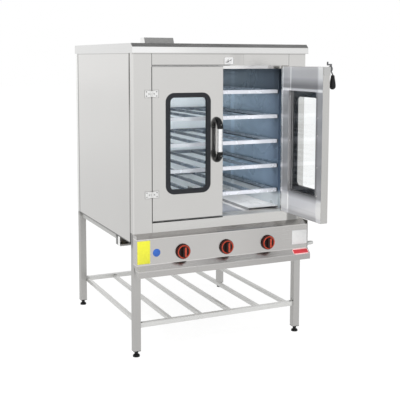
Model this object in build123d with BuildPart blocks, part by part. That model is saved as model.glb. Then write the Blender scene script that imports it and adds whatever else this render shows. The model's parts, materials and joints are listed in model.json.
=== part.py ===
import os

from build123d import *

os.makedirs("parts", exist_ok=True)

# Gas pastry oven on a tube stand: millimetres, +Z up, doors face -Y.
# Origin on the floor, midway across the cabinet and midway front to back.

# Cabinet envelope
opening_w = 820.0
stile_w = 105.0
cabinet_d = 1030.0
panel_bottom_z = 608.0
frame_bottom_z = 662.0
frame_top_z = 1599.0
opening_bottom_z = 717.0
opening_top_z = 1535.0

open_x = opening_w / 2
half_w = open_x + stile_w
y_front = -cabinet_d / 2
y_back = cabinet_d / 2

# Sheet gauges
skin_t = 1.2
frame_t = 1.5
cover_t = 1.5

# Front frame
jamb_depth = 80.0
side_return_depth = 45.0
side_return_inset = 2.0
sill_depth = 100.0
sill_lip_drop = 17.0
rail_flange = 25.0
stop_flange_y = 43.0
stop_flange_drop = 18.0
stop_flange_z = opening_top_z - stop_flange_drop

# Outer panels
panel_flange = 20.0
back_return_depth = 35.0
panel_joint_gap = 1.0

# Top cover
cover_lip_h = 32.0
cover_bevel_h = 19.0
cover_bevel_in = 20.0
cover_side_over = 6.0
cover_front_over = 20.0
cover_seat = 36.0
cover_lip_z = frame_top_z
cover_bevel_z = cover_lip_z + cover_lip_h
cover_top_z = cover_bevel_z + cover_bevel_h

# Flue collar
flue_w = 200.0
flue_x = 1.0
flue_d = 90.0
flue_back_in = 35.0
flue_lean = 25.0
flue_rise = 54.0
flue_t = 1.5
flue_back_y = y_back - flue_back_in
flue_front_y = flue_back_y - flue_d
flue_top_z = cover_top_z + flue_rise

# Oven cavity
wall_step_depth = 28.0
wall_step_in = 12.0
cavity_back_in = 60.0
cavity_floor_drop = 5.0
ceiling_overlap = 10.0
floor_slot_w = 120.0
floor_slot_l = 640.0
floor_slot_in = 95.0
flue_port_w = 180.0
flue_port_d = 52.0
flue_port_in = 34.0
baffle_w = 192.0
baffle_h = 16.0
baffle_foot = 25.0
baffle_front_gap = 2.0
baffle_back_gap = 8.0
insulation_front_in = 10.0
insulation_top_gap = 9.0
insulation_edge = 22.0
cavity_back_y = y_back - cavity_back_in
cavity_floor_z = opening_bottom_z - cavity_floor_drop
cavity_ceiling_z = stop_flange_z + frame_t
sill_back_y = y_front + sill_depth
floor_slot_x = open_x - floor_slot_in
flue_port_y = flue_front_y + flue_port_in
baffle_l = cavity_back_y - sill_back_y - baffle_front_gap - baffle_back_gap
insulation_front_y = sill_back_y + insulation_front_in
insulation_top_z = frame_top_z - insulation_top_gap

# Racks and runners
rack_count = 5
rack_first_z = 820.5
rack_pitch = 141.6
rack_side_gap = 10.0
rack_front_gap = 5.0
rack_back_gap = 7.0
rack_rail = 20.0
rack_bar = 16.0
rack_tube_t = 1.5
rack_bars = 6
runner_ledge = 22.0
runner_rise = 18.0
runner_t = 1.5
runner_front_in = 7.0
runner_back_gap = 8.0
rack_w = opening_w - 2 * rack_side_gap
rack_front_y = sill_back_y + rack_front_gap
rack_depth = cavity_back_y - rack_back_gap - rack_front_y
runner_front_y = rack_front_y + runner_front_in
runner_l = cavity_back_y - runner_back_gap - runner_front_y

# Stand
leg = 40.0
leg_t = 2.0
leg_r = 3.0
leg_bottom_z = 34.0
front_leg_top_z = frame_bottom_z - frame_t
back_leg_up = 17.0
back_leg_top_z = panel_bottom_z + back_leg_up
right_leg_inset = 14.0
cap_t = 3.0
plug_h = 18.0
plug_gap = 0.1
foot_pad_r = 19.0
foot_stem_r = 10.0
foot_pad_h = 13.0
foot_pad_edge = 4.0
foot_thread_r = 5.0
foot_thread_l = 18.0
thread_gap = 0.05
shelf_rail = 25.0
shelf_bar = 20.0
shelf_tube_t = 1.5
shelf_rail_top_z = 180.0
shelf_bar_drop = 8.0
shelf_front_in = 10.0
shelf_back_in = 9.0
shelf_bars = 6
shelf_first_in = 10.8
shelf_last_in = 24.0
top_rail_w = 25.0
top_rail_h = 50.0
top_rail_inset = 14.0
cross_front_in = 210.0
cross_w = 70.0
cross_h = 53.0
cross_t = 2.0
cross_lip = 9.0
cross_end_w = 32.0
rear_cross_in = 230.0
rear_cross_w = 40.0
cross_front_y = y_front + cross_front_in
cross_bottom_z = panel_bottom_z - cross_h
rear_cross_y = y_back - rear_cross_in

# Control panel, seen from the side as depth in front of the frame and height
panel_top_back = 20.0
panel_fold_gap = 0.6
panel_ledge = 52.0
panel_ledge_z = 642.0
panel_face_bottom_z = 506.0
apron_out = 82.0
apron_z = 479.0
apron_bottom_z = 447.0
apron_return = 18.0
panel_t = 1.5

# Burners and gas train
knob_pitch = 256.0
knob_z = 560.0
burner_r = 19.0
burner_bore_r = 16.5
burner_front_in = 75.0
burner_back_in = 130.0
feed_r = 6.0
feed_bend_r = 10.0
feed_rise_in = 53.0
manifold_r = 10.5
manifold_bore_r = 8.0
manifold_out = 22.0
manifold_z = 523.0
manifold_over = 74.0
valve_w = 34.0
valve_h = 40.0
valve_back = 12.0
valve_front = 46.0
valve_boss_r = 12.0
valve_neck_r = 7.0
stem_r = 4.0
stem_gap = 0.05
stem_depth = 9.5
stem_hole_r = 8.0
inlet_hex = 27.0
inlet_hex_l = 16.0
inlet_r = 10.5
inlet_bore_r = 7.5
inlet_l = 36.0
inlet_taper_l = 12.0
inlet_tip_r = 8.5
valve_bore_spare = 5.0
burner_front_y = y_front + burner_front_in
burner_back_y = y_back - burner_back_in
feed_rise_y = y_front + feed_rise_in
manifold_y = y_front - manifold_out
manifold_left_x = -knob_pitch - manifold_over

# Knobs, measured outward from the panel face
knob_r = 40.0
knob_back = 5.0
knob_skirt_h = 5.0
knob_ring_r = 35.0
knob_ring_h = 13.0
knob_ring_slope = 2.0
knob_dish_r = 27.0
knob_dish_h = 10.0
knob_dish_slope = 1.5
knob_bar_w = 20.0
knob_bar_l = 62.0
knob_bar_h = 23.0
knob_bore_l = 20.0
stem_end_gap = 0.5

# Doors: u runs from the hinge edge, d inward from the outer face
door_gap = 4.0
door_end_gap = 4.0
door_meeting_gap = 2.0
left_door_extra = 2.0
door_t = 42.0
door_skin_t = 1.2
skin_nest_gap = 0.2
edge_fold_r = 1.5
window_hinge_margin = 75.1
window_free_margin = 73.9
window_low_margin = 136.0
window_top_margin = 138.0
gasket_r = 48.0
gasket_band = 25.0
gasket_proud = 4.0
gasket_grip = 10.0
gasket_round = 2.5
gasket_flange_over = 3.0
gasket_back = 12.4
corner_r = 4.0
pane_t = 4.0
outer_pane_d = 6.0
outer_pane_grip = 6.0
channel_over = 1.0
channel_back = 20.4
well_over = 8.0
well_lip = 3.0
well_step = 2.0
hinge_forward = 4.0

left_door_w = open_x - door_gap + left_door_extra
right_door_w = opening_w - 2 * door_gap - door_meeting_gap - left_door_w
door_z0 = opening_bottom_z + door_end_gap
door_z1 = opening_top_z - door_end_gap
gasket_w = left_door_w - window_hinge_margin - window_free_margin
gasket_h = door_z1 - door_z0 - window_low_margin - window_top_margin
window_u = window_hinge_margin + gasket_w / 2
window_z = door_z0 + window_low_margin + gasket_h / 2
gasket_flange_w = gasket_w + 2 * gasket_flange_over
gasket_flange_h = gasket_h + 2 * gasket_flange_over
well_w = gasket_w + 2 * well_over
well_h = gasket_h + 2 * well_over
channel_w = well_w + 2 * channel_over
channel_h = well_h + 2 * channel_over
hinge_y = y_front - hinge_forward

# Butterfly hinges
hinge_low_up = 142.5
hinge_top_down = 141.0
hinge_half_w = 36.5
hinge_h = 38.0
hinge_waist = 31.0
hinge_leaf_t = 2.0
knuckle_r = 3.8
knuckle_mid = 11.6
knuckle_end = 8.8
knuckle_gap = 0.4
hinge_pin_r = 2.2
hinge_pin_gap = 0.05
leaf_relief = 0.6
leaf_tab_in = 1.0
leaf_corner_r = 5.0
hinge_heights = (door_z0 + hinge_low_up, door_z1 - hinge_top_down)

# Door handle
handle_edge_in = 38.0
handle_up = 354.0
grip_l = 127.0
grip_r = 14.5
handle_reach = 43.0
handle_end_r = 16.5
grip_socket = 8.0
end_sleeve = 2.0
handle_u = left_door_w - handle_edge_in
handle_z0 = door_z0 + handle_up
handle_z1 = handle_z0 + grip_l

# Latch
latch_edge_in = 30.5
latch_down = 11.0
latch_plate_t = 2.0
latch_plate_w = 51.0
latch_plate_h = 44.0
latch_plate_wrap = 38.0
latch_plate_r = 9.0
latch_boss_r = 11.0
latch_boss_h = 12.0
spindle_r = 4.5
spindle_gap = 0.05
hub_r = 13.0
hub_out = 28.0
hub_gap = 0.4
hook_w = 10.0
hook_arm = 8.0
hook_neck_up = 18.0
hook_neck_h = 8.0
hook_tip_up = 37.0
hook_tip_in = 2.8
hook_tip_t = 3.5
lever_rod_r = 3.5
lever_bend_r = 6.0
rod_root_in = 6.0
rod_root_down = 4.0
rod_straight = 2.0
latch_knob_out = 37.0
latch_knob_down = 32.0
latch_knob_l = 74.0
latch_knob_top_r = 9.5
latch_knob_low_r = 16.5
latch_knob_edge = 2.0
latch_knob_edge_h = 3.0
lever_rod_grip = 58.0
keeper_shift = 0.5
keeper_w = 60.0
keeper_up = 2.0
keeper_h = 42.0
keeper_cut = 9.0
keeper_t = 2.0
tongue_w = 15.0
tongue_up = 13.0
tongue_h = 18.0
tongue_out = 7.5
tongue_t = 2.0
tongue_tilt = 14.0
latch_u = right_door_w - latch_edge_in
latch_z = door_z1 - latch_down
hook_neck_z = latch_z + hook_neck_up
hook_tip_z = latch_z + hook_tip_up
latch_knob_top_z = latch_z - latch_knob_down
latch_knob_bottom_z = latch_knob_top_z - latch_knob_l
lever_rod_end_z = latch_knob_top_z - lever_rod_grip
keeper_x = open_x - door_gap - latch_u + keeper_shift
keeper_z0 = opening_top_z + keeper_up
keeper_z1 = keeper_z0 + keeper_h
tongue_z0 = keeper_z0 + tongue_up
tongue_z1 = tongue_z0 + tongue_h


def block(x0, x1, y0, y1, z0, z1, mode=Mode.ADD):
    """Box between two corners, square to the axes."""
    with Locations(((x0 + x1) / 2, (y0 + y1) / 2, (z0 + z1) / 2)):
        Box(x1 - x0, y1 - y0, z1 - z0, mode=mode)


def bent_sheet(plane, points, thickness, side, length):
    """Folded sheet: an open line of points, thickened to one side and drawn along the normal."""
    with BuildSketch(plane) as fold:
        with BuildLine():
            Polyline(*points)
            offset(amount=thickness, side=side)
        make_face()
    extrude(fold.sketch, amount=length)


def tube_up(x, y, z0, z1, size, wall, corner):
    """Upright square tube with rounded corners."""
    with BuildSketch(Plane.XY.offset(z0)) as section:
        with Locations((x, y)):
            RectangleRounded(size, size, corner)
            RectangleRounded(size - 2 * wall, size - 2 * wall, corner - wall, mode=Mode.SUBTRACT)
    extrude(section.sketch, amount=z1 - z0)


def tube_grid(rail_x0, rail_x1, rail_y0, rail_y1, rail, rail_top, bar, bar_top, bar_xs, wall):
    """Two cross tubes joined by a row of front-to-back tubes, all hollow."""
    for rail_front in (rail_y0, rail_y1 - rail):
        block(rail_x0, rail_x1, rail_front, rail_front + rail, rail_top - rail, rail_top)
    for x in bar_xs:
        block(x - bar / 2, x + bar / 2, rail_y0 + rail, rail_y1 - rail, bar_top - bar, bar_top)
    for rail_front in (rail_y0, rail_y1 - rail):
        block(rail_x0, rail_x1, rail_front + wall, rail_front + rail - wall,
              rail_top - rail + wall, rail_top - wall, mode=Mode.SUBTRACT)
    for x in bar_xs:
        block(x - bar / 2 + wall, x + bar / 2 - wall, rail_y0 + rail, rail_y1 - rail,
              bar_top - bar + wall, bar_top - wall, mode=Mode.SUBTRACT)


# Where the four legs stand
left_leg_x = -half_w + skin_t + leg / 2
right_leg_x = half_w - right_leg_inset - leg / 2
front_leg_y = y_front + leg / 2
back_leg_y = y_back - skin_t - leg / 2
leg_spots = ((left_leg_x, front_leg_y, front_leg_top_z), (right_leg_x, front_leg_y, front_leg_top_z),
             (left_leg_x, back_leg_y, back_leg_top_z), (right_leg_x, back_leg_y, back_leg_top_z))
left_leg_inner_x = left_leg_x + leg / 2
right_leg_inner_x = right_leg_x - leg / 2

with BuildPart() as legs:
    for leg_x, leg_y, leg_top in leg_spots:
        tube_up(leg_x, leg_y, leg_bottom_z, leg_top, leg, leg_t, leg_r)
legs.part.label = "legs"
export_step(legs.part, "parts/legs.step")

# Square end caps with a plug inside each tube and a threaded bore for the foot
plug = leg - 2 * (leg_t + plug_gap)
with BuildPart() as leg_end_caps:
    for leg_x, leg_y, leg_top in leg_spots:
        with BuildSketch(Plane.XY.offset(leg_bottom_z - cap_t)):
            with Locations((leg_x, leg_y)):
                RectangleRounded(leg, leg, leg_r)
        extrude(amount=cap_t)
        with BuildSketch(Plane.XY.offset(leg_bottom_z)):
            with Locations((leg_x, leg_y)):
                RectangleRounded(plug, plug, leg_r - leg_t + plug_gap)
        extrude(amount=plug_h)
        with BuildSketch(Plane.XY.offset(leg_bottom_z - cap_t)):
            with Locations((leg_x, leg_y)):
                Circle(foot_thread_r + thread_gap)
        extrude(amount=cap_t + plug_h, mode=Mode.SUBTRACT)
leg_end_caps.part.label = "leg_end_caps"
export_step(leg_end_caps.part, "parts/leg_end_caps.step")


def levelling_foot(x, y):
    """Screw foot: domed pad, neck up to the cap and a threaded stud in its bore."""
    neck_top = leg_bottom_z - cap_t
    with BuildSketch(Plane.XZ.offset(-y)) as half:
        with BuildLine():
            Polyline((x, 0), (x + foot_pad_r, 0), (x + foot_pad_r, foot_pad_edge))
            CenterArc((x + foot_stem_r, foot_pad_edge), foot_pad_h - foot_pad_edge, 0, 90)
            Polyline((x + foot_stem_r, foot_pad_h), (x + foot_stem_r, neck_top),
                     (x + foot_thread_r, neck_top), (x + foot_thread_r, neck_top + foot_thread_l),
                     (x, neck_top + foot_thread_l), (x, 0))
        make_face()
    revolve(half.sketch, axis=Axis((x, y, 0), (0, 0, 1)))


with BuildPart() as foot_front_left:
    levelling_foot(left_leg_x, front_leg_y)
foot_front_left.part.label = "foot_front_left"
export_step(foot_front_left.part, "parts/foot_front_left.step")

with BuildPart() as foot_front_right:
    levelling_foot(right_leg_x, front_leg_y)
foot_front_right.part.label = "foot_front_right"
export_step(foot_front_right.part, "parts/foot_front_right.step")

with BuildPart() as foot_back_left:
    levelling_foot(left_leg_x, back_leg_y)
foot_back_left.part.label = "foot_back_left"
export_step(foot_back_left.part, "parts/foot_back_left.step")

with BuildPart() as foot_back_right:
    levelling_foot(right_leg_x, back_leg_y)
foot_back_right.part.label = "foot_back_right"
export_step(foot_back_right.part, "parts/foot_back_right.step")

# Lower shelf: a front and a back tube between the legs, carrying six cross tubes
shelf_first_x = left_leg_inner_x + shelf_first_in
shelf_pitch = (right_leg_inner_x - shelf_last_in - shelf_first_x) / (shelf_bars - 1)
shelf_xs = [shelf_first_x + shelf_pitch * i for i in range(shelf_bars)]
with BuildPart() as lower_shelf:
    tube_grid(left_leg_inner_x, right_leg_inner_x, y_front + shelf_front_in, y_back - shelf_back_in,
              shelf_rail, shelf_rail_top_z, shelf_bar, shelf_rail_top_z - shelf_bar_drop,
              shelf_xs, shelf_tube_t)
lower_shelf.part.label = "lower_shelf"
export_step(lower_shelf.part, "parts/lower_shelf.step")

# Rails at the top of the stand; the side ones stop at the burner crossmember
top_rail_z0 = back_leg_top_z - top_rail_h
cross_back_y = cross_front_y + cross_w
left_rail_x = -half_w + top_rail_inset
right_rail_x = half_w - right_leg_inset - top_rail_inset - top_rail_w
with BuildPart() as frame_rails:
    for rail_x in (left_rail_x, right_rail_x):
        block(rail_x, rail_x + top_rail_w, cross_back_y, back_leg_y - leg / 2, top_rail_z0, back_leg_top_z)
    for rail_y in (front_leg_y - top_rail_w / 2, back_leg_y - top_rail_w / 2):
        block(left_leg_inner_x, right_leg_inner_x, rail_y, rail_y + top_rail_w, top_rail_z0, back_leg_top_z)
    # Lipped channel under the burners, open to the front, with a strip across the back of each end
    block(-half_w, half_w, cross_front_y, cross_back_y, cross_bottom_z, panel_bottom_z)
    block(-half_w, half_w, cross_front_y + cross_t, cross_back_y - cross_t,
          cross_bottom_z + cross_t, panel_bottom_z - cross_t, mode=Mode.SUBTRACT)
    block(-half_w, half_w, cross_front_y, cross_front_y + cross_t,
          cross_bottom_z + cross_lip, panel_bottom_z - cross_t, mode=Mode.SUBTRACT)
    for end_x in (-half_w, half_w - cross_t):
        block(end_x, end_x + cross_t, cross_back_y - cross_end_w, cross_back_y, cross_bottom_z, panel_bottom_z)
    # Flat tube across the backs of the burners
    block(left_rail_x + top_rail_w, right_rail_x, rear_cross_y, rear_cross_y + rear_cross_w,
          panel_bottom_z - top_rail_w, panel_bottom_z)
frame_rails.part.label = "frame_rails"
export_step(frame_rails.part, "parts/frame_rails.step")

# Side panels: one folded tray each, flanged inward front, back and top
side_panel_y0 = y_front + side_return_depth
side_panel_y1 = y_back - back_return_depth - panel_joint_gap
with BuildPart() as side_panel_left:
    block(-half_w, -half_w + panel_flange, side_panel_y0, side_panel_y1, panel_bottom_z, frame_top_z)
    block(-half_w + skin_t, -half_w + panel_flange, side_panel_y0 + skin_t, side_panel_y1 - skin_t,
          panel_bottom_z, frame_top_z - skin_t, mode=Mode.SUBTRACT)
    block(-half_w + skin_t, -half_w + panel_flange, side_panel_y1 - skin_t, side_panel_y1,
          panel_bottom_z, back_leg_top_z + panel_joint_gap, mode=Mode.SUBTRACT)
side_panel_left.part.label = "side_panel_left"
export_step(side_panel_left.part, "parts/side_panel_left.step")

with BuildPart() as side_panel_right:
    mirror(side_panel_left.part, about=Plane.YZ)
side_panel_right.part.label = "side_panel_right"
export_step(side_panel_right.part, "parts/side_panel_right.step")

# Back panel with a return round each back corner
back_profile = ((-half_w, y_back - back_return_depth), (-half_w, y_back),
                (half_w, y_back), (half_w, y_back - back_return_depth))
with BuildPart() as back_panel:
    bent_sheet(Plane.XY.offset(panel_bottom_z), back_profile, skin_t, Side.RIGHT,
               frame_top_z - panel_bottom_z)
back_panel.part.label = "back_panel"
export_step(back_panel.part, "parts/back_panel.step")

# Stiles: front face, jamb return inward and a shallow inset return along the side
stile_profile = ((-half_w + side_return_inset, y_front + side_return_depth),
                 (-half_w + side_return_inset, y_front),
                 (-open_x, y_front), (-open_x, y_front + jamb_depth))
with BuildPart() as stile_left:
    bent_sheet(Plane.XY.offset(frame_bottom_z), stile_profile, frame_t, Side.LEFT,
               frame_top_z - frame_bottom_z)
    block(-half_w, -half_w + side_return_inset, y_front, y_front + frame_t, frame_bottom_z, frame_top_z)
stile_left.part.label = "stile_left"
export_step(stile_left.part, "parts/stile_left.step")

with BuildPart() as stile_right:
    mirror(stile_left.part, about=Plane.YZ)
stile_right.part.label = "stile_right"
export_step(stile_right.part, "parts/stile_right.step")

# Head rail, drawn from the side: top flange, face, underside and door stop
across = Plane(origin=(-open_x, 0, 0), x_dir=(0, 1, 0), z_dir=(1, 0, 0))
head_profile = ((y_front + rail_flange, frame_top_z), (y_front, frame_top_z), (y_front, opening_top_z),
                (y_front + stop_flange_y, opening_top_z), (y_front + stop_flange_y, stop_flange_z),
                (y_front + sill_depth, stop_flange_z))
with BuildPart() as head_rail:
    bent_sheet(across, head_profile, frame_t, Side.LEFT, opening_w)
head_rail.part.label = "head_rail"
export_step(head_rail.part, "parts/head_rail.step")

# Sill: bottom flange, face, deep top and a lip down to the cavity floor
sill_profile = ((y_front + rail_flange, frame_bottom_z), (y_front, frame_bottom_z),
                (y_front, opening_bottom_z), (y_front + sill_depth, opening_bottom_z),
                (y_front + sill_depth, opening_bottom_z - sill_lip_drop))
with BuildPart() as sill_rail:
    bent_sheet(across, sill_profile, frame_t, Side.RIGHT, opening_w)
sill_rail.part.label = "sill_rail"
export_step(sill_rail.part, "parts/sill_rail.step")

# Top cover: lid with an upright lip and a front bevel, hollow, its inturned seat resting on the panels
cover_x = half_w + cover_side_over
cover_y0 = y_front - cover_front_over
cover_side = Plane(origin=(-cover_x, 0, 0), x_dir=(0, 1, 0), z_dir=(1, 0, 0))
with BuildPart() as top_cover:
    with BuildSketch(cover_side):
        with BuildLine():
            Polyline((cover_y0, cover_lip_z), (cover_y0, cover_bevel_z),
                     (cover_y0 + cover_bevel_in, cover_top_z), (y_back, cover_top_z),
                     (y_back, cover_lip_z), close=True)
        make_face()
    extrude(amount=2 * cover_x)
    offset(amount=-cover_t, kind=Kind.INTERSECTION, mode=Mode.SUBTRACT)
    block(-cover_x + cover_seat, cover_x - cover_seat, cover_y0 + cover_seat, y_back - cover_seat,
          cover_lip_z, cover_lip_z + cover_t, mode=Mode.SUBTRACT)
    block(flue_x - flue_w / 2, flue_x + flue_w / 2, flue_front_y, flue_back_y,
          cover_lip_z, cover_top_z, mode=Mode.SUBTRACT)
top_cover.part.label = "top_cover"
export_step(top_cover.part, "parts/top_cover.step")

# Flue collar: a duct standing on the cavity ceiling, its front leaning back above the cover
duct_z0 = cavity_ceiling_z + skin_t
duct_plane = Plane(origin=(flue_x - flue_w / 2, 0, 0), x_dir=(0, 1, 0), z_dir=(1, 0, 0))
with BuildPart() as flue_collar:
    with BuildSketch(duct_plane):
        with BuildLine():
            Polyline((flue_front_y, duct_z0), (flue_front_y, cover_top_z),
                     (flue_front_y + flue_lean, flue_top_z), (flue_back_y, flue_top_z),
                     (flue_back_y, duct_z0), close=True)
        make_face()
    extrude(amount=flue_w)
    with BuildSketch(duct_plane.offset(flue_t)):
        with BuildLine():
            Polyline((flue_front_y + flue_t, duct_z0), (flue_front_y + flue_t, cover_top_z),
                     (flue_front_y + flue_lean + flue_t, flue_top_z), (flue_back_y - flue_t, flue_top_z),
                     (flue_back_y - flue_t, duct_z0), close=True)
        make_face()
    extrude(amount=flue_w - 2 * flue_t, mode=Mode.SUBTRACT)
flue_collar.part.label = "flue_collar"
export_step(flue_collar.part, "parts/flue_collar.step")

# Cavity side walls, drawn from above: a step outward behind the jamb, then straight to the back
jamb_y = y_front + jamb_depth
wall_profile = ((-open_x, jamb_y + skin_t), (-open_x - wall_step_in, jamb_y + skin_t),
                (-open_x - wall_step_in, jamb_y + wall_step_depth),
                (-open_x, jamb_y + wall_step_depth), (-open_x, cavity_back_y + skin_t))
with BuildPart() as cavity_left_wall:
    bent_sheet(Plane.XY.offset(cavity_floor_z - skin_t), wall_profile, skin_t, Side.LEFT,
               cavity_ceiling_z - cavity_floor_z + skin_t)
cavity_left_wall.part.label = "cavity_left_wall"
export_step(cavity_left_wall.part, "parts/cavity_left_wall.step")

with BuildPart() as cavity_right_wall:
    mirror(cavity_left_wall.part, about=Plane.YZ)
cavity_right_wall.part.label = "cavity_right_wall"
export_step(cavity_right_wall.part, "parts/cavity_right_wall.step")

with BuildPart() as cavity_back_wall:
    block(-open_x, open_x, cavity_back_y, cavity_back_y + skin_t, cavity_floor_z, cavity_ceiling_z)
cavity_back_wall.part.label = "cavity_back_wall"
export_step(cavity_back_wall.part, "parts/cavity_back_wall.step")

# Cavity floor with a hot-air slot under each baffle
with BuildPart() as cavity_floor:
    block(-open_x, open_x, sill_back_y, cavity_back_y + skin_t, cavity_floor_z - skin_t, cavity_floor_z)
    with BuildSketch(Plane.XY.offset(cavity_floor_z - skin_t)):
        with Locations((-floor_slot_x, 0), (floor_slot_x, 0)):
            SlotOverall(floor_slot_l, floor_slot_w, rotation=90)
    extrude(amount=skin_t, mode=Mode.SUBTRACT)
cavity_floor.part.label = "cavity_floor"
export_step(cavity_floor.part, "parts/cavity_floor.step")

# Cavity ceiling with the flue port
with BuildPart() as cavity_ceiling:
    block(-open_x - wall_step_in, open_x + wall_step_in, sill_back_y - ceiling_overlap,
          cavity_back_y + skin_t, cavity_ceiling_z, cavity_ceiling_z + skin_t)
    with BuildSketch(Plane.XY.offset(cavity_ceiling_z)):
        with Locations((flue_x, flue_port_y)):
            Rectangle(flue_port_w, flue_port_d)
    extrude(amount=skin_t, mode=Mode.SUBTRACT)
cavity_ceiling.part.label = "cavity_ceiling"
export_step(cavity_ceiling.part, "parts/cavity_ceiling.step")

# Bent floor baffles over the slots: foot, upstand and top reaching the wall
baffle_plane = Plane.XZ.offset(-(sill_back_y + baffle_front_gap))
with BuildPart() as floor_baffles:
    for hand, thick_side in ((1, Side.RIGHT), (-1, Side.LEFT)):
        points = ((hand * (open_x - baffle_w - baffle_foot), cavity_floor_z),
                  (hand * (open_x - baffle_w), cavity_floor_z),
                  (hand * (open_x - baffle_w), cavity_floor_z + baffle_h),
                  (hand * open_x, cavity_floor_z + baffle_h),
                  (hand * open_x, cavity_floor_z))
        with BuildSketch(baffle_plane):
            with BuildLine():
                Polyline(*points[1:])
                offset(amount=skin_t, side=thick_side)
            make_face()
        extrude(amount=-baffle_l)
        foot_x = sorted((points[0][0], points[1][0]))
        block(foot_x[0], foot_x[1], sill_back_y + baffle_front_gap,
              sill_back_y + baffle_front_gap + baffle_l, cavity_floor_z, cavity_floor_z + skin_t)
floor_baffles.part.label = "floor_baffles"
export_step(floor_baffles.part, "parts/floor_baffles.step")

# Insulation slabs between cavity and outer panels: two sides, back and top
slab_bottom_z = back_leg_top_z
with BuildPart() as insulation:
    for slab_x0, slab_x1 in ((-half_w + skin_t, -open_x - skin_t), (open_x + skin_t, half_w - skin_t)):
        block(slab_x0, slab_x1, insulation_front_y, cavity_back_y + skin_t, slab_bottom_z, cavity_ceiling_z)
    block(-half_w + insulation_edge, half_w - insulation_edge, cavity_back_y + skin_t, y_back - skin_t,
          slab_bottom_z, cavity_ceiling_z)
    block(-half_w + insulation_edge, half_w - insulation_edge, insulation_front_y, y_back - skin_t,
          cavity_ceiling_z + skin_t, insulation_top_z)
    block(flue_x - flue_w / 2, flue_x + flue_w / 2, flue_front_y, flue_back_y,
          cavity_ceiling_z, insulation_top_z, mode=Mode.SUBTRACT)
insulation.part.label = "insulation"
export_step(insulation.part, "parts/insulation.step")

# Angle runners on both cavity walls, one pair for each rack
rack_zs = [rack_first_z + rack_pitch * i for i in range(rack_count)]
with BuildPart() as rack_runners:
    for rack_z in rack_zs:
        ledge_z = rack_z - rack_rail / 2
        for hand in (-1, 1):
            wall_x = sorted((hand * open_x, hand * (open_x - runner_t)))
            ledge_x = sorted((hand * open_x, hand * (open_x - runner_ledge)))
            block(wall_x[0], wall_x[1], runner_front_y, runner_front_y + runner_l,
                  ledge_z - runner_t, ledge_z + runner_rise)
            block(ledge_x[0], ledge_x[1], runner_front_y, runner_front_y + runner_l,
                  ledge_z - runner_t, ledge_z)
rack_runners.part.label = "rack_runners"
export_step(rack_runners.part, "parts/rack_runners.step")

rack_bar_xs = [(rack_w - rack_bar) * (i / (rack_bars - 1) - 0.5) for i in range(rack_bars)]


def rack(z):
    """Welded tube rack lying on its pair of runners, tops of rails and bars level."""
    tube_grid(-rack_w / 2, rack_w / 2, rack_front_y, rack_front_y + rack_depth, rack_rail,
              z + rack_rail / 2, rack_bar, z + rack_rail / 2, rack_bar_xs, rack_tube_t)


with BuildPart() as rack_1:
    rack(rack_zs[0])
rack_1.part.label = "rack_1"
export_step(rack_1.part, "parts/rack_1.step")

with BuildPart() as rack_2:
    rack(rack_zs[1])
rack_2.part.label = "rack_2"
export_step(rack_2.part, "parts/rack_2.step")

with BuildPart() as rack_3:
    rack(rack_zs[2])
rack_3.part.label = "rack_3"
export_step(rack_3.part, "parts/rack_3.step")

with BuildPart() as rack_4:
    rack(rack_zs[3])
rack_4.part.label = "rack_4"
export_step(rack_4.part, "parts/rack_4.step")

with BuildPart() as rack_5:
    rack(rack_zs[4])
rack_5.part.label = "rack_5"
export_step(rack_5.part, "parts/rack_5.step")

# Control panel: ledge under the sill, upright face, sloped apron and lip, closed at both ends
panel_y = y_front - panel_ledge
panel_side = Plane(origin=(-half_w, 0, 0), x_dir=(0, 1, 0), z_dir=(1, 0, 0))
panel_profile = ((y_front + panel_top_back, frame_bottom_z),
                 (y_front - panel_fold_gap, frame_bottom_z),
                 (panel_y, panel_ledge_z), (panel_y, panel_face_bottom_z),
                 (y_front - apron_out, apron_z), (y_front - apron_out, apron_bottom_z),
                 (y_front - apron_out + apron_return, apron_bottom_z))
knob_xs = (-knob_pitch, 0.0, knob_pitch)
with BuildPart() as control_panel:
    bent_sheet(panel_side, panel_profile, panel_t, Side.LEFT, 2 * half_w)
    for end_x in (0.0, 2 * half_w - panel_t):
        with BuildSketch(panel_side.offset(end_x)):
            with BuildLine():
                Polyline(*panel_profile[1:], (y_front, panel_face_bottom_z - panel_t), close=True)
            make_face()
        extrude(amount=panel_t)
    with BuildSketch(Plane.XZ.offset(-panel_y)):
        with Locations(*[(x, knob_z) for x in knob_xs]):
            Circle(stem_hole_r)
    extrude(amount=-panel_t, mode=Mode.SUBTRACT)
    with BuildSketch(Plane.YZ.offset(half_w)):
        with Locations((manifold_y, manifold_z)):
            Circle(manifold_r)
    extrude(amount=-panel_t, mode=Mode.SUBTRACT)
control_panel.part.label = "control_panel"
export_step(control_panel.part, "parts/control_panel.step")

# Gas manifold pipe behind the panel, blanked at its left end
manifold_end_x = half_w + 1.0
with BuildPart() as gas_manifold:
    with BuildSketch(Plane.YZ.offset(manifold_left_x)):
        with Locations((manifold_y, manifold_z)):
            Circle(manifold_r)
    extrude(amount=manifold_end_x - manifold_left_x)
    with BuildSketch(Plane.YZ.offset(manifold_end_x)):
        with Locations((manifold_y, manifold_z)):
            Circle(manifold_bore_r)
    extrude(amount=-(manifold_end_x - manifold_left_x - 3 * panel_t), mode=Mode.SUBTRACT)
gas_manifold.part.label = "gas_manifold"
export_step(gas_manifold.part, "parts/gas_manifold.step")

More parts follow.
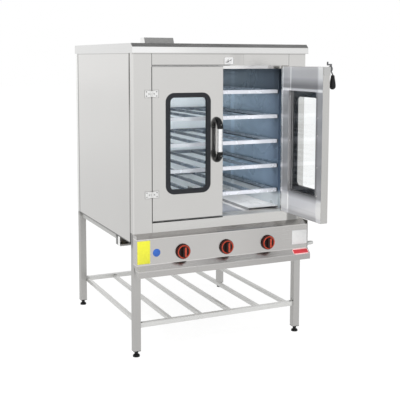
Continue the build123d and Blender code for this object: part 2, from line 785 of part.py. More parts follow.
# Gas valves saddled on the manifold, each with a boss against the panel and a bore for its stem
with BuildPart() as gas_valves:
    for x in knob_xs:
        block(x - valve_w / 2, x + valve_w / 2, y_front - valve_front, y_front - valve_back,
              knob_z - valve_h / 2, knob_z + valve_h / 2)
        with BuildSketch(Plane.XZ.offset(-(y_front - valve_front))):
            with Locations((x, knob_z)):
                Circle(valve_boss_r)
        extrude(amount=panel_ledge - panel_t - valve_front)
        with BuildSketch(Plane.XY.offset(manifold_z)):
            with Locations((x, manifold_y)):
                Circle(valve_neck_r)
        extrude(amount=knob_z - valve_h / 2 - manifold_z)
        with BuildSketch(Plane.XZ.offset(-(panel_y + panel_t))):
            with Locations((x, knob_z)):
                Circle(stem_r + stem_gap)
        extrude(amount=-(stem_depth + valve_bore_spare), mode=Mode.SUBTRACT)
    with BuildSketch(Plane.YZ.offset(manifold_left_x)):
        with Locations((manifold_y, manifold_z)):
            Circle(manifold_r)
    extrude(amount=manifold_end_x - manifold_left_x, mode=Mode.SUBTRACT)
gas_valves.part.label = "gas_valves"
export_step(gas_valves.part, "parts/gas_valves.step")

# Gas inlet: hexagon and taper-ended nipple at the right-hand end of the manifold
nipple_x = manifold_end_x + inlet_hex_l
nipple_end_x = nipple_x + inlet_l
inlet_axis = Axis((manifold_end_x, manifold_y, manifold_z), (1, 0, 0))
with BuildPart() as gas_inlet:
    with BuildSketch(Plane.YZ.offset(manifold_end_x)):
        with Locations((manifold_y, manifold_z)):
            RegularPolygon(inlet_hex / 2, 6, major_radius=False)
    extrude(amount=inlet_hex_l)
    with BuildSketch(Plane(origin=(0, manifold_y, manifold_z), x_dir=(1, 0, 0), z_dir=(0, -1, 0))):
        with BuildLine():
            Polyline((nipple_x, 0), (nipple_x, inlet_r), (nipple_end_x - inlet_taper_l, inlet_r),
                     (nipple_end_x, inlet_tip_r), (nipple_end_x, 0), close=True)
        make_face()
    revolve(axis=inlet_axis)
    with BuildSketch(Plane.YZ.offset(manifold_end_x)):
        with Locations((manifold_y, manifold_z)):
            Circle(inlet_bore_r)
    extrude(amount=inlet_hex_l + inlet_l, mode=Mode.SUBTRACT)
gas_inlet.part.label = "gas_inlet"
export_step(gas_inlet.part, "parts/gas_inlet.step")

# Three tube burners, each with a bent feed pipe from its valve
burner_z = panel_bottom_z + burner_r
valve_back_y = y_front - valve_back
with BuildPart() as burners:
    for x in knob_xs:
        with BuildSketch(Plane.XZ.offset(-burner_front_y)):
            with Locations((x, burner_z)):
                Circle(burner_r)
        extrude(amount=-(burner_back_y - burner_front_y))
        with BuildSketch(Plane.XZ.offset(-(burner_front_y + frame_t))):
            with Locations((x, burner_z)):
                Circle(burner_bore_r)
        extrude(amount=-(burner_back_y - burner_front_y - 2 * frame_t), mode=Mode.SUBTRACT)
        with BuildLine() as feed_path:
            FilletPolyline((x, valve_back_y, knob_z), (x, feed_rise_y, knob_z),
                           (x, feed_rise_y, burner_z), (x, burner_front_y, burner_z), radius=feed_bend_r)
        with BuildSketch(Plane(origin=(x, valve_back_y, knob_z), z_dir=(0, 1, 0))):
            Circle(feed_r)
        sweep(path=feed_path.line)
burners.part.label = "burners"
export_step(burners.part, "parts/burners.step")


def valve_stem(x):
    """Round stem from inside the valve, through the panel, to inside the knob."""
    inner_y = panel_y + panel_t + stem_depth
    outer_y = panel_y - knob_back - knob_bore_l + stem_end_gap
    with BuildSketch(Plane.XZ.offset(-inner_y)) as section:
        with Locations((x, knob_z)):
            Circle(stem_r)
    extrude(section.sketch, amount=inner_y - outer_y)


def knob(x):
    """Round knob: skirt, raised ring, sunk dish and a rounded grip bar, bored for its stem."""
    back = panel_y - knob_back
    axis = Axis((x, 0, knob_z), (0, 1, 0))
    top = back - knob_skirt_h
    with BuildSketch(Plane.XY.offset(knob_z)) as half:
        with BuildLine():
            Polyline((x, back), (x + knob_r, back), (x + knob_r, top), (x + knob_ring_r, top),
                     (x + knob_ring_r - knob_ring_slope, back - knob_ring_h), (x + knob_dish_r, back - knob_ring_h),
                     (x + knob_dish_r - knob_dish_slope, back - knob_dish_h), (x, back - knob_dish_h), close=True)
        make_face()
    revolve(half.sketch, axis=axis)
    with BuildSketch(Plane.XZ.offset(-(back - knob_skirt_h))) as bar:
        with Locations((x, knob_z)):
            SlotOverall(knob_bar_l, knob_bar_w, rotation=90)
    extrude(bar.sketch, amount=knob_bar_h - knob_skirt_h)
    with BuildSketch(Plane.XZ.offset(-back)) as bore:
        with Locations((x, knob_z)):
            Circle(stem_r + stem_gap)
    extrude(bore.sketch, amount=knob_bore_l, mode=Mode.SUBTRACT)


with BuildPart() as valve_stem_left:
    valve_stem(knob_xs[0])
valve_stem_left.part.label = "valve_stem_left"
export_step(valve_stem_left.part, "parts/valve_stem_left.step")

with BuildPart() as valve_stem_centre:
    valve_stem(knob_xs[1])
valve_stem_centre.part.label = "valve_stem_centre"
export_step(valve_stem_centre.part, "parts/valve_stem_centre.step")

with BuildPart() as valve_stem_right:
    valve_stem(knob_xs[2])
valve_stem_right.part.label = "valve_stem_right"
export_step(valve_stem_right.part, "parts/valve_stem_right.step")

with BuildPart() as knob_left:
    knob(knob_xs[0])
knob_left.part.label = "knob_left"
export_step(knob_left.part, "parts/knob_left.step")

with BuildPart() as knob_centre:
    knob(knob_xs[1])
knob_centre.part.label = "knob_centre"
export_step(knob_centre.part, "parts/knob_centre.step")

with BuildPart() as knob_right:
    knob(knob_xs[2])
knob_right.part.label = "knob_right"
export_step(knob_right.part, "parts/knob_right.step")

# Door planes lie on the outer faces: the left door is shut, the right one stands open square
left_face = Plane(origin=(-open_x + door_gap, y_front, 0), x_dir=(1, 0, 0), z_dir=(0, -1, 0))
right_face = Plane(origin=(open_x - hinge_forward, hinge_y - door_gap, 0), x_dir=(0, 1, 0), z_dir=(1, 0, 0))


def door_box(hand, face, u_span, z_span, d_span, mode=Mode.ADD):
    """Box on a door, given by its reach across, up and inward from the outer face."""
    with BuildSketch(face.offset(-d_span[0])) as section:
        with Locations((hand * (u_span[0] + u_span[1]) / 2, (z_span[0] + z_span[1]) / 2)):
            Rectangle(u_span[1] - u_span[0], z_span[1] - z_span[0])
    extrude(section.sketch, amount=-(d_span[1] - d_span[0]), mode=mode)


def window_block(hand, face, width, height, radius, d_span, mode=Mode.ADD):
    """Rounded rectangle centred on the window, between two depths."""
    with BuildSketch(face.offset(-d_span[0])) as section:
        with Locations((hand * window_u, window_z)):
            RectangleRounded(width, height, radius)
    extrude(section.sketch, amount=-(d_span[1] - d_span[0]), mode=mode)


def outer_skin(hand, face, width):
    """Door front folded back on all four edges, cut out for the window rubber."""
    door_box(hand, face, (0, width), (door_z0, door_z1), (0, door_t))
    front_edges = [e for e in edges() if abs(face.to_local_coords(e.center()).Z) < 0.001]
    fillet(front_edges, radius=edge_fold_r)
    door_box(hand, face, (door_skin_t, width - door_skin_t),
             (door_z0 + door_skin_t, door_z1 - door_skin_t), (door_skin_t, door_t), mode=Mode.SUBTRACT)
    window_block(hand, face, gasket_w - 2 * gasket_grip, gasket_h - 2 * gasket_grip,
                 gasket_r - gasket_grip, (0, door_skin_t), mode=Mode.SUBTRACT)


def inner_skin(hand, face, width):
    """Door back: flat strips at both edges, a shallow sunk field and the well for the window."""
    nest = door_skin_t + skin_nest_gap
    field = (window_u - well_w / 2, window_u + well_w / 2)
    height = (door_z0 + nest, door_z1 - nest)
    sheet_front = door_t - door_skin_t
    door_box(hand, face, (nest, width - nest), height, (sheet_front - well_step, door_t))
    door_box(hand, face, (nest, field[0] - door_skin_t), height, (sheet_front - well_step, sheet_front),
             mode=Mode.SUBTRACT)
    door_box(hand, face, (field[1] + door_skin_t, width - nest), height,
             (sheet_front - well_step, sheet_front), mode=Mode.SUBTRACT)
    door_box(hand, face, field, height, (door_t - well_step, door_t), mode=Mode.SUBTRACT)
    well_front = channel_back + pane_t
    window_block(hand, face, well_w + 2 * door_skin_t, well_h + 2 * door_skin_t, corner_r,
                 (well_front, sheet_front))
    window_block(hand, face, well_w, well_h, corner_r - door_skin_t,
                 (well_front + door_skin_t, door_t), mode=Mode.SUBTRACT)
    window_block(hand, face, well_w - 2 * well_lip, well_h - 2 * well_lip, corner_r - door_skin_t,
                 (well_front, door_t), mode=Mode.SUBTRACT)


def window_gasket(hand, face):
    """Rubber ring gripping the door front and holding the outer pane in a groove."""
    band_w = gasket_w - 2 * gasket_band
    band_h = gasket_h - 2 * gasket_band
    band_r = gasket_r - gasket_band
    window_block(hand, face, gasket_w, gasket_h, gasket_r, (-gasket_proud, 0))
    proud_edges = [e for e in edges() if abs(face.to_local_coords(e.center()).Z - gasket_proud) < 0.001]
    fillet(proud_edges, radius=gasket_round)
    window_block(hand, face, gasket_w - 2 * gasket_grip, gasket_h - 2 * gasket_grip,
                 gasket_r - gasket_grip, (0, door_skin_t))
    window_block(hand, face, gasket_flange_w, gasket_flange_h, corner_r, (door_skin_t, gasket_back))
    window_block(hand, face, band_w, band_h, band_r, (-gasket_proud, gasket_back), mode=Mode.SUBTRACT)
    window_block(hand, face, band_w + 2 * outer_pane_grip, band_h + 2 * outer_pane_grip,
                 band_r + outer_pane_grip, (outer_pane_d, outer_pane_d + pane_t), mode=Mode.SUBTRACT)


def window_panes(hand, face):
    """Outer pane in the rubber groove and inner pane against the lip of the well."""
    grip = outer_pane_grip - gasket_band
    window_block(hand, face, gasket_w + 2 * grip, gasket_h + 2 * grip, gasket_r + grip,
                 (outer_pane_d, outer_pane_d + pane_t))
    window_block(hand, face, well_w, well_h, corner_r - door_skin_t, (channel_back, channel_back + pane_t))


def glazing_channel(hand, face):
    """Bright metal ring that keeps the inner pane off the door front."""
    window_block(hand, face, channel_w, channel_h, corner_r, (door_skin_t, channel_back))
    window_block(hand, face, gasket_flange_w, gasket_flange_h, corner_r,
                 (door_skin_t, channel_back), mode=Mode.SUBTRACT)


def knuckle(hand, z0, z1, radius, mode=Mode.ADD):
    """Round barrel on the hinge axis between two heights."""
    with BuildSketch(Plane.XY.offset(z0)) as section:
        with Locations((hand * open_x, hinge_y)):
            Circle(radius)
    extrude(section.sketch, amount=z1 - z0, mode=mode)


def leaf_plate(hand, face, root):
    """Butterfly leaf on a flat face, from its root out to the wide rounded end."""
    for z in hinge_heights:
        with BuildSketch(face) as leaf:
            with BuildLine():
                Polyline((hand * root, z - hinge_waist / 2), (hand * hinge_half_w, z - hinge_h / 2),
                         (hand * hinge_half_w, z + hinge_h / 2), (hand * root, z + hinge_waist / 2),
                         close=True)
            make_face()
            fillet([v for v in vertices() if abs(abs(v.X) - hinge_half_w) < 0.001
                    and abs(v.Y - z) < hinge_h], radius=leaf_corner_r)
        extrude(leaf.sketch, amount=hinge_leaf_t)


def frame_leaves(hand):
    """Leaves screwed to a stile, two outer knuckles and the pin through them."""
    face = Plane(origin=(hand * open_x, y_front, 0), x_dir=(1, 0, 0), z_dir=(0, -1, 0))
    root = knuckle_r + leaf_relief
    leaf_plate(hand, face, root)
    for z in hinge_heights:
        for z0 in (z - knuckle_mid / 2 - knuckle_gap - knuckle_end, z + knuckle_mid / 2 + knuckle_gap):
            x_root = sorted((hand * (open_x + root), hand * (open_x + leaf_tab_in)))
            block(x_root[0], x_root[1], y_front - hinge_leaf_t, y_front, z0, z0 + knuckle_end)
            knuckle(hand, z0, z0 + knuckle_end, knuckle_r)
        reach = knuckle_mid / 2 + knuckle_gap + knuckle_end
        knuckle(hand, z - reach, z + reach, hinge_pin_r)


def door_leaves(hand, face):
    """Leaves screwed to a door, each with the middle knuckle bored for the pin."""
    leaf_face = face * Location((-hand * door_gap, 0, 0))
    root = knuckle_r + leaf_relief
    leaf_plate(hand, leaf_face, root)
    for z in hinge_heights:
        with BuildSketch(face) as tab:
            with Locations((hand * (root + leaf_tab_in) / 2 - hand * door_gap, z)):
                Rectangle(root - leaf_tab_in, knuckle_mid)
        extrude(tab.sketch, amount=hinge_leaf_t)
        knuckle(-hand, z - knuckle_mid / 2, z + knuckle_mid / 2, knuckle_r)
        knuckle(-hand, z - knuckle_mid / 2, z + knuckle_mid / 2, hinge_pin_r + hinge_pin_gap,
                mode=Mode.SUBTRACT)


with BuildPart() as hinge_frame_leaves:
    for hand in (-1, 1):
        frame_leaves(hand)
hinge_frame_leaves.part.label = "hinge_frame_leaves"
export_step(hinge_frame_leaves.part, "parts/hinge_frame_leaves.step")

with BuildPart() as left_door_outer_skin:
    outer_skin(1, left_face, left_door_w)
left_door_outer_skin.part.label = "left_door_outer_skin"
export_step(left_door_outer_skin.part, "parts/left_door_outer_skin.step")

with BuildPart() as left_door_inner_skin:
    inner_skin(1, left_face, left_door_w)
left_door_inner_skin.part.label = "left_door_inner_skin"
export_step(left_door_inner_skin.part, "parts/left_door_inner_skin.step")

with BuildPart() as left_door_gasket:
    window_gasket(1, left_face)
left_door_gasket.part.label = "left_door_gasket"
export_step(left_door_gasket.part, "parts/left_door_gasket.step")

with BuildPart() as left_door_panes:
    window_panes(1, left_face)
left_door_panes.part.label = "left_door_panes"
export_step(left_door_panes.part, "parts/left_door_panes.step")

with BuildPart() as left_door_channel:
    glazing_channel(1, left_face)
left_door_channel.part.label = "left_door_channel"
export_step(left_door_channel.part, "parts/left_door_channel.step")

with BuildPart() as left_door_hinge_leaves:
    door_leaves(1, left_face)
left_door_hinge_leaves.part.label = "left_door_hinge_leaves"
export_step(left_door_hinge_leaves.part, "parts/left_door_hinge_leaves.step")

with BuildPart() as right_door_outer_skin:
    outer_skin(-1, right_face, right_door_w)
right_door_outer_skin.part.label = "right_door_outer_skin"
export_step(right_door_outer_skin.part, "parts/right_door_outer_skin.step")

with BuildPart() as right_door_inner_skin:
    inner_skin(-1, right_face, right_door_w)
right_door_inner_skin.part.label = "right_door_inner_skin"
export_step(right_door_inner_skin.part, "parts/right_door_inner_skin.step")

with BuildPart() as right_door_gasket:
    window_gasket(-1, right_face)
right_door_gasket.part.label = "right_door_gasket"
export_step(right_door_gasket.part, "parts/right_door_gasket.step")

with BuildPart() as right_door_panes:
    window_panes(-1, right_face)
right_door_panes.part.label = "right_door_panes"
export_step(right_door_panes.part, "parts/right_door_panes.step")

with BuildPart() as right_door_channel:
    glazing_channel(-1, right_face)
right_door_channel.part.label = "right_door_channel"
export_step(right_door_channel.part, "parts/right_door_channel.step")

with BuildPart() as right_door_hinge_leaves:
    door_leaves(-1, right_face)
right_door_hinge_leaves.part.label = "right_door_hinge_leaves"
export_step(right_door_hinge_leaves.part, "parts/right_door_hinge_leaves.step")

# Handle on the left door: straight metal grip between two quarter-round plastic ends
handle_x = left_face.origin.X + handle_u
grip_y = y_front - handle_reach
with BuildPart() as handle_grip:
    with BuildSketch(Plane.XY.offset(handle_z0 - grip_socket)):
        with Locations((handle_x, grip_y)):
            Circle(grip_r)
    extrude(amount=handle_z1 - handle_z0 + 2 * grip_socket)
handle_grip.part.label = "handle_grip"
export_step(handle_grip.part, "parts/handle_grip.step")

with BuildPart() as handle_ends:
    for end_z, turn in ((handle_z1, -90), (handle_z0, 90)):
        with BuildSketch(Plane.XY.offset(end_z)):
            with Locations((handle_x, grip_y)):
                Circle(handle_end_r)
        revolve(axis=Axis((handle_x, y_front, end_z), (1, 0, 0)), revolution_arc=turn)
        with BuildSketch(Plane.XY.offset(end_z)):
            with Locations((handle_x, grip_y)):
                Circle(handle_end_r)
        extrude(amount=-end_sleeve if end_z == handle_z1 else end_sleeve)
    with BuildSketch(Plane.XY.offset(handle_z0 - grip_socket)):
        with Locations((handle_x, grip_y)):
            Circle(grip_r)
    extrude(amount=handle_z1 - handle_z0 + 2 * grip_socket, mode=Mode.SUBTRACT)
handle_ends.part.label = "handle_ends"
export_step(handle_ends.part, "parts/handle_ends.step")

# Latch on the right door. Its sections are drawn in the upright plane through the spindle:
# across the page is the distance outward from the door face, up the page the height.
latch_y = right_face.origin.Y - latch_u
face_x = right_face.origin.X
door_edge_y = right_face.origin.Y - right_door_w
latch_side = Plane(origin=(face_x, latch_y, 0), x_dir=(1, 0, 0), z_dir=(0, -1, 0))
plate_z0 = door_z1 - latch_plate_h
with BuildPart() as latch_case:
    with BuildSketch(right_face):
        with Locations((-(right_door_w - latch_plate_w / 2), door_z1 - latch_plate_h / 2)):
            Rectangle(latch_plate_w, latch_plate_h)
        fillet([v for v in vertices() if v.Y < plate_z0 + 1.0 and v.X > -right_door_w + 1.0], radius=latch_plate_r)
    extrude(amount=latch_plate_t)
    with BuildSketch(Plane.XZ.offset(-door_edge_y)):
        with BuildLine():
            Polyline((face_x + latch_plate_t, door_z1), (face_x - latch_plate_wrap, door_z1),
                     (face_x - latch_plate_wrap, plate_z0), (face_x + latch_plate_t, plate_z0), close=True)
        make_face()
        fillet([v for v in vertices() if v.Y < plate_z0 + 1.0 and v.X < face_x], radius=latch_plate_r)
    extrude(amount=latch_plate_t)
    with BuildSketch(Plane.YZ.offset(face_x + latch_plate_t)):
        with Locations((latch_y, latch_z)):
            Circle(latch_boss_r)
    extrude(amount=latch_boss_h)
    with BuildSketch(Plane.YZ.offset(face_x + latch_plate_t)):
        with Locations((latch_y, latch_z)):
            Circle(spindle_r + spindle_gap)
    extrude(amount=latch_boss_h, mode=Mode.SUBTRACT)
latch_case.part.label = "latch_case"
export_step(latch_case.part, "parts/latch_case.step")

hub_in = latch_plate_t + latch_boss_h + hub_gap
with BuildPart() as latch_lever:
    with BuildSketch(Plane.YZ.offset(face_x + latch_plate_t + hub_gap)):
        with Locations((latch_y, latch_z)):
            Circle(spindle_r)
    extrude(amount=hub_out - latch_plate_t - hub_gap)
    with BuildSketch(Plane.YZ.offset(face_x + hub_in)):
        with Locations((latch_y, latch_z)):
            Circle(hub_r)
    extrude(amount=hub_out - hub_in)
    with BuildSketch(latch_side):
        with BuildLine():
            Polyline((hub_out, latch_z), (hub_out, hook_neck_z + hook_neck_h),
                     (hook_tip_in + hook_tip_t, hook_neck_z + hook_neck_h),
                     (hook_tip_in + hook_tip_t, hook_tip_z), (hook_tip_in, hook_tip_z),
                     (hook_tip_in, hook_neck_z), (hub_out - hook_arm, hook_neck_z),
                     (hub_out - hook_arm, latch_z), close=True)
        make_face()
    extrude(amount=hook_w / 2, both=True)
    with BuildLine(latch_side) as rod_path:
        FilletPolyline((hub_out - rod_root_in, latch_z - rod_root_down),
                       (latch_knob_out, latch_knob_top_z + rod_straight),
                       (latch_knob_out, lever_rod_end_z), radius=lever_bend_r)
    rod_start = rod_path.line @ 0
    with BuildSketch(Plane(origin=rod_start, z_dir=rod_path.line % 0)):
        Circle(lever_rod_r)
    sweep(path=rod_path.line)
latch_lever.part.label = "latch_lever"
export_step(latch_lever.part, "parts/latch_lever.step")

with BuildPart() as latch_knob:
    with BuildSketch(latch_side):
        with BuildLine():
            knob_low_z = latch_knob_bottom_z + latch_knob_low_r
            Line((latch_knob_out, latch_knob_bottom_z), (latch_knob_out, latch_knob_top_z))
            Line((latch_knob_out, latch_knob_top_z),
                 (latch_knob_out + latch_knob_top_r - latch_knob_edge, latch_knob_top_z))
            Line((latch_knob_out + latch_knob_top_r - latch_knob_edge, latch_knob_top_z),
                 (latch_knob_out + latch_knob_top_r, latch_knob_top_z - latch_knob_edge_h))
            Spline((latch_knob_out + latch_knob_top_r, latch_knob_top_z - latch_knob_edge_h),
                   (latch_knob_out + latch_knob_low_r, knob_low_z),
                   tangents=((0.08, -1.0), (0.0, -1.0)))
            CenterArc((latch_knob_out, knob_low_z), latch_knob_low_r, 0, -90)
        make_face()
    revolve(axis=Axis((face_x + latch_knob_out, latch_y, 0), (0, 0, 1)))
    with BuildSketch(Plane.XY.offset(latch_knob_top_z)):
        with Locations((face_x + latch_knob_out, latch_y)):
            Circle(lever_rod_r)
    extrude(amount=lever_rod_end_z - latch_knob_top_z, mode=Mode.SUBTRACT)
latch_knob.part.label = "latch_knob"
export_step(latch_knob.part, "parts/latch_knob.step")

# Keeper on the head rail: cornered plate and a tilted tongue the hook turns behind
keeper_face = Plane(origin=(keeper_x, y_front, 0), x_dir=(1, 0, 0), z_dir=(0, -1, 0))
with BuildPart() as latch_keeper:
    with BuildSketch(keeper_face):
        with Locations((0, (keeper_z0 + keeper_z1) / 2)):
            Rectangle(keeper_w, keeper_z1 - keeper_z0)
        chamfer(vertices(), length=keeper_cut)
    extrude(amount=keeper_t)
    tongue_mid = (tongue_z0 + tongue_z1) / 2
    tilted = Plane(origin=(keeper_x, y_front, tongue_mid), x_dir=(1, 0, 0), z_dir=(0, -1, 0))
    tilted = tilted.rotated((0, 0, tongue_tilt))
    with BuildSketch(tilted.offset(tongue_out)):
        Rectangle(tongue_w, tongue_z1 - tongue_z0)
    extrude(amount=tongue_t)
    with BuildSketch(tilted.offset(keeper_t)):
        with Locations((0, (tongue_z1 - tongue_z0) / 2 - tongue_t / 2)):
            Rectangle(tongue_w, tongue_t)
    extrude(amount=tongue_out - keeper_t)
latch_keeper.part.label = "latch_keeper"
export_step(latch_keeper.part, "parts/latch_keeper.step")
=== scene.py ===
import json
import math

import bpy
import numpy as np
from bpy.props import FloatProperty, FloatVectorProperty, IntProperty, PointerProperty
from mathutils import Matrix, Vector


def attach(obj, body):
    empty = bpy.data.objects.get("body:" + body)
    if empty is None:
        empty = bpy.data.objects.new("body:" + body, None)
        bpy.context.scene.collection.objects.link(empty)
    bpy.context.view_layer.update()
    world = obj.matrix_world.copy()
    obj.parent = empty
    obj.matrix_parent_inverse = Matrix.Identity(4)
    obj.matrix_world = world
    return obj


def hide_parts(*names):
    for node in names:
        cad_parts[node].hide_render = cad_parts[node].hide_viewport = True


bl_info = {
    "name": "Pastry oven",
    "version": (1, 0, 0),
    "blender": (4, 5, 0),
    "location": "3D View > Sidebar > Oven",
    "description": "Dresses the packed frame of a gas pastry oven with its finishes and small parts",
    "category": "Object",
}

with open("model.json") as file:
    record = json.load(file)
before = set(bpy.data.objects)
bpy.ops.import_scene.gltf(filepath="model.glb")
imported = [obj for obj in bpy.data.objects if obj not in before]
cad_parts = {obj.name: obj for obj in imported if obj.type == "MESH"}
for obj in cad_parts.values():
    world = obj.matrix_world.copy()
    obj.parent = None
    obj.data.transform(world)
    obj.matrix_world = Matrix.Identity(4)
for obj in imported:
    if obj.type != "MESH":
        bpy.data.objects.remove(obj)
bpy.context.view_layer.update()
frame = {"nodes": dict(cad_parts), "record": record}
MM = 0.001
# Ceiling for a colour that marks have scaled
BRIGHTEST = 0.9
MIX_COLOUR = {"data_type": "RGBA"}
MULTIPLY_COLOUR = {"data_type": "RGBA", "blend_type": "MULTIPLY"}


# ---------------------------------------------------------------- colours and node trees


def linear(code, alpha=1.0):
    """sRGB hex turned to the linear colour that a shader reads."""
    values = [int(code[i:i + 2], 16) / 255 for i in (1, 3, 5)]
    return tuple(v / 12.92 if v <= 0.04045 else ((v + 0.055) / 1.055) ** 2.4 for v in values) + (alpha,)


def add(tree, kind, settings=None, **inputs):
    """One node with its settings; an input is a value, or another node's output to link.

    Input names use the socket's own name with spaces as underscores, or in_0, in_1 for unnamed ones.
    """
    node = tree.nodes.new(kind)
    for key, value in (settings or {}).items():
        setattr(node, key, value)
    for key, value in inputs.items():
        socket = node.inputs[int(key[3:])] if key.startswith("in_") else node.inputs[key.replace("_", " ")]
        if isinstance(value, bpy.types.NodeSocket):
            tree.links.new(value, socket)
        else:
            socket.default_value = value
    return node


def ramp(tree, factor, *stops):
    """Colour ramp through (position, colour) stops."""
    node = add(tree, "ShaderNodeValToRGB", Fac=factor)
    line = node.color_ramp
    while len(line.elements) < len(stops):
        line.elements.new(0.5)
    for element, (position, colour) in zip(line.elements, stops):
        element.position = position
        element.color = colour
    return node.outputs["Color"]


def new_material(name):
    """Empty node material with its output, and the Object coordinates it reads."""
    material = bpy.data.materials.new(name)
    material.use_nodes = True
    tree = material.node_tree
    tree.nodes.clear()
    output = add(tree, "ShaderNodeOutputMaterial")
    place = add(tree, "ShaderNodeTexCoord").outputs["Object"]
    return material, tree, output, place


def add_link(tree, surface, output):
    """Sends a shader to the material's output."""
    tree.links.new(surface.outputs[0], output.inputs["Surface"])


def finish_opaque(tree, output, tint, rough, spread, fade, reach, relief, **inputs):
    """Ends a material: gloss spread round its middle by a fade that runs over a reach, relief, and the shader.

    The relief is (strength, distance, height).
    """
    gloss = add(tree, "ShaderNodeMapRange", Value=fade, From_Min=reach[0], From_Max=reach[1],
                To_Min=rough - spread, To_Max=rough + spread)
    bump = add(tree, "ShaderNodeBump", Strength=relief[0], Distance=relief[1], Height=relief[2])
    surface = add(tree, "ShaderNodeBsdfPrincipled", Base_Color=tint, Roughness=gloss.outputs["Result"],
                  Normal=bump.outputs["Normal"], **inputs)
    add_link(tree, surface, output)


def shade(colour, factor):
    """The colour made lighter or darker by a factor."""
    return (colour[0] * factor, colour[1] * factor, colour[2] * factor, 1.0)


def grey(value):
    """Opaque grey of one linear value."""
    return (value, value, value, 1.0)


def pattern(tree, place, stretch, scale, detail=2.0, roughness=0.5):
    """Noise stretched along an axis: large stretch values pack the grain closer along that axis."""
    mapped = add(tree, "ShaderNodeMapping", {"vector_type": "POINT"}, Vector=place, Scale=stretch)
    noise = add(tree, "ShaderNodeTexNoise", {"noise_dimensions": "3D"}, Vector=mapped.outputs["Vector"],
                Scale=scale, Detail=detail, Roughness=roughness)
    return noise.outputs["Fac"]


def marked(tree, place, tint, marks):
    """The tint scaled inside boxes of Object coordinates: seams, folds, gaps, bands of light or shadow.

    A mark is ({axis: (from, to)}, factor, softness), with lengths in millimetres; a third number in a range is
    that axis's own softness. Each axis gives the distance from the middle of its range, and the share inside
    is the product over the axes.
    """
    if marks:
        parts = add(tree, "ShaderNodeSeparateXYZ", Vector=place).outputs
    for ranges, factor, soft in marks:
        share = 1.0
        for axis, (low, high, *own) in ranges.items():
            edge = own[0] if own else soft
            away = add(tree, "ShaderNodeMath", {"operation": "SUBTRACT"}, in_0=parts[axis],
                       in_1=(low + high) / 2 * MM)
            away = add(tree, "ShaderNodeMath", {"operation": "ABSOLUTE"}, in_0=away.outputs[0])
            half = (high - low) / 2
            inside = add(tree, "ShaderNodeMapRange", Value=away.outputs[0], From_Min=(half + edge) * MM,
                         From_Max=(half - edge) * MM)
            share = add(tree, "ShaderNodeMath", {"operation": "MULTIPLY"}, in_0=share,
                        in_1=inside.outputs["Result"]).outputs[0]
        scale = add(tree, "ShaderNodeMath", {"operation": "MULTIPLY_ADD"}, in_0=share, in_1=factor - 1.0, in_2=1.0)
        tint = add(tree, "ShaderNodeVectorMath", {"operation": "SCALE"}, in_0=tint,
                   Scale=scale.outputs[0]).outputs["Vector"]
    if marks:
        # Marks that overlap multiply, and no sheet sends back more light than it gets
        tint = add(tree, "ShaderNodeVectorMath", {"operation": "MINIMUM"}, in_0=tint,
                   in_1=(BRIGHTEST, BRIGHTEST, BRIGHTEST)).outputs["Vector"]
    return tint


def sheet_metal(name, colour, rough, grain_mm, along, tone=0.05, cloud_mm=260.0, bump=0.06, smear=0.05,
                metallic=1.0, marks=(), scuffed=None):
    """Rolled or ground sheet: fine grain along one axis, slow clouds in tone, both in gloss too.

    The grain is noise squeezed across its run. Real grain is about 0.2 mm, drawn coarser so it shows.
    A scuffed box of Object coordinates keeps a quarter of its metallic share.
    """
    material, tree, output, place = new_material(name)
    fine = 1.0 / (grain_mm * MM)
    long = fine / 60.0
    squeeze = {"x": (long, fine, fine), "y": (fine, long, fine), "z": (fine, fine, long),
               "xy": (long, long, fine)}[along]
    grain = pattern(tree, place, squeeze, 1.0, 3.0, 0.6)
    cloud = pattern(tree, place, (1.0, 1.0, 1.0), 1.0 / (cloud_mm * MM), 2.0)
    blend = add(tree, "ShaderNodeMix", {"data_type": "FLOAT"}, Factor=0.45, in_2=cloud, in_3=grain)
    tint = ramp(tree, blend.outputs["Result"], (0.3, shade(colour, 1.0 - tone)), (0.7, shade(colour, 1.0 + tone)))
    tint = marked(tree, place, tint, marks)
    if scuffed:
        metallic = marked(tree, place, (metallic, metallic, metallic), ((scuffed, 0.25, 1.0),))
    finish_opaque(tree, output, tint, rough, smear, blend.outputs["Result"], (0.3, 0.7), (bump, 0.0004, grain),
                  Metallic=metallic)
    return material


def tinted_and_shaded_liner(name, depth_stops, height_stops, low, rough, metallic, marks):
    """Liner sheet toned by one ramp along Y from the doorway to the back and one up Z, paler at the floor.

    Stops are (millimetres, colour); the ramps carry painted light and shade along with the sheet's tone. The foot of
    the walls, under the lowest rack, takes one pale colour in place of the ramps.
    """
    material, tree, output, place = new_material(name)
    parts = add(tree, "ShaderNodeSeparateXYZ", Vector=place).outputs
    cloud = pattern(tree, place, (1.0, 1.0, 1.0), 1.0 / (180 * MM), 2.0)
    grain = pattern(tree, place, (6.0, 6.0, 360.0), 1.0, 3.0, 0.6)

    def along(axis, stops):
        first, last = stops[0][0], stops[-1][0]
        way = add(tree, "ShaderNodeMapRange", Value=parts[axis], From_Min=first * MM, From_Max=last * MM)
        return ramp(tree, way.outputs["Result"], *[((at - first) / (last - first), tint) for at, tint in stops])

    foot = add(tree, "ShaderNodeMapRange", Value=parts["Z"], From_Min=0.79, From_Max=0.82)
    body = add(tree, "ShaderNodeMix", MIX_COLOUR, Factor=foot.outputs["Result"], in_6=low,
               in_7=along("Y", depth_stops))
    tint = add(tree, "ShaderNodeMix", MULTIPLY_COLOUR, Factor=1.0, in_6=body.outputs["Result"],
               in_7=along("Z", height_stops))
    drift = ramp(tree, cloud, (0.3, grey(0.93)), (0.7, grey(1.0)))
    shown = add(tree, "ShaderNodeMix", MULTIPLY_COLOUR, Factor=1.0, in_6=tint.outputs["Result"], in_7=drift)
    shown = marked(tree, place, shown.outputs["Result"], marks)
    finish_opaque(tree, output, shown, rough, 0.06, cloud, (0.3, 0.7), (0.03, 0.0004, grain), Metallic=metallic)
    return material


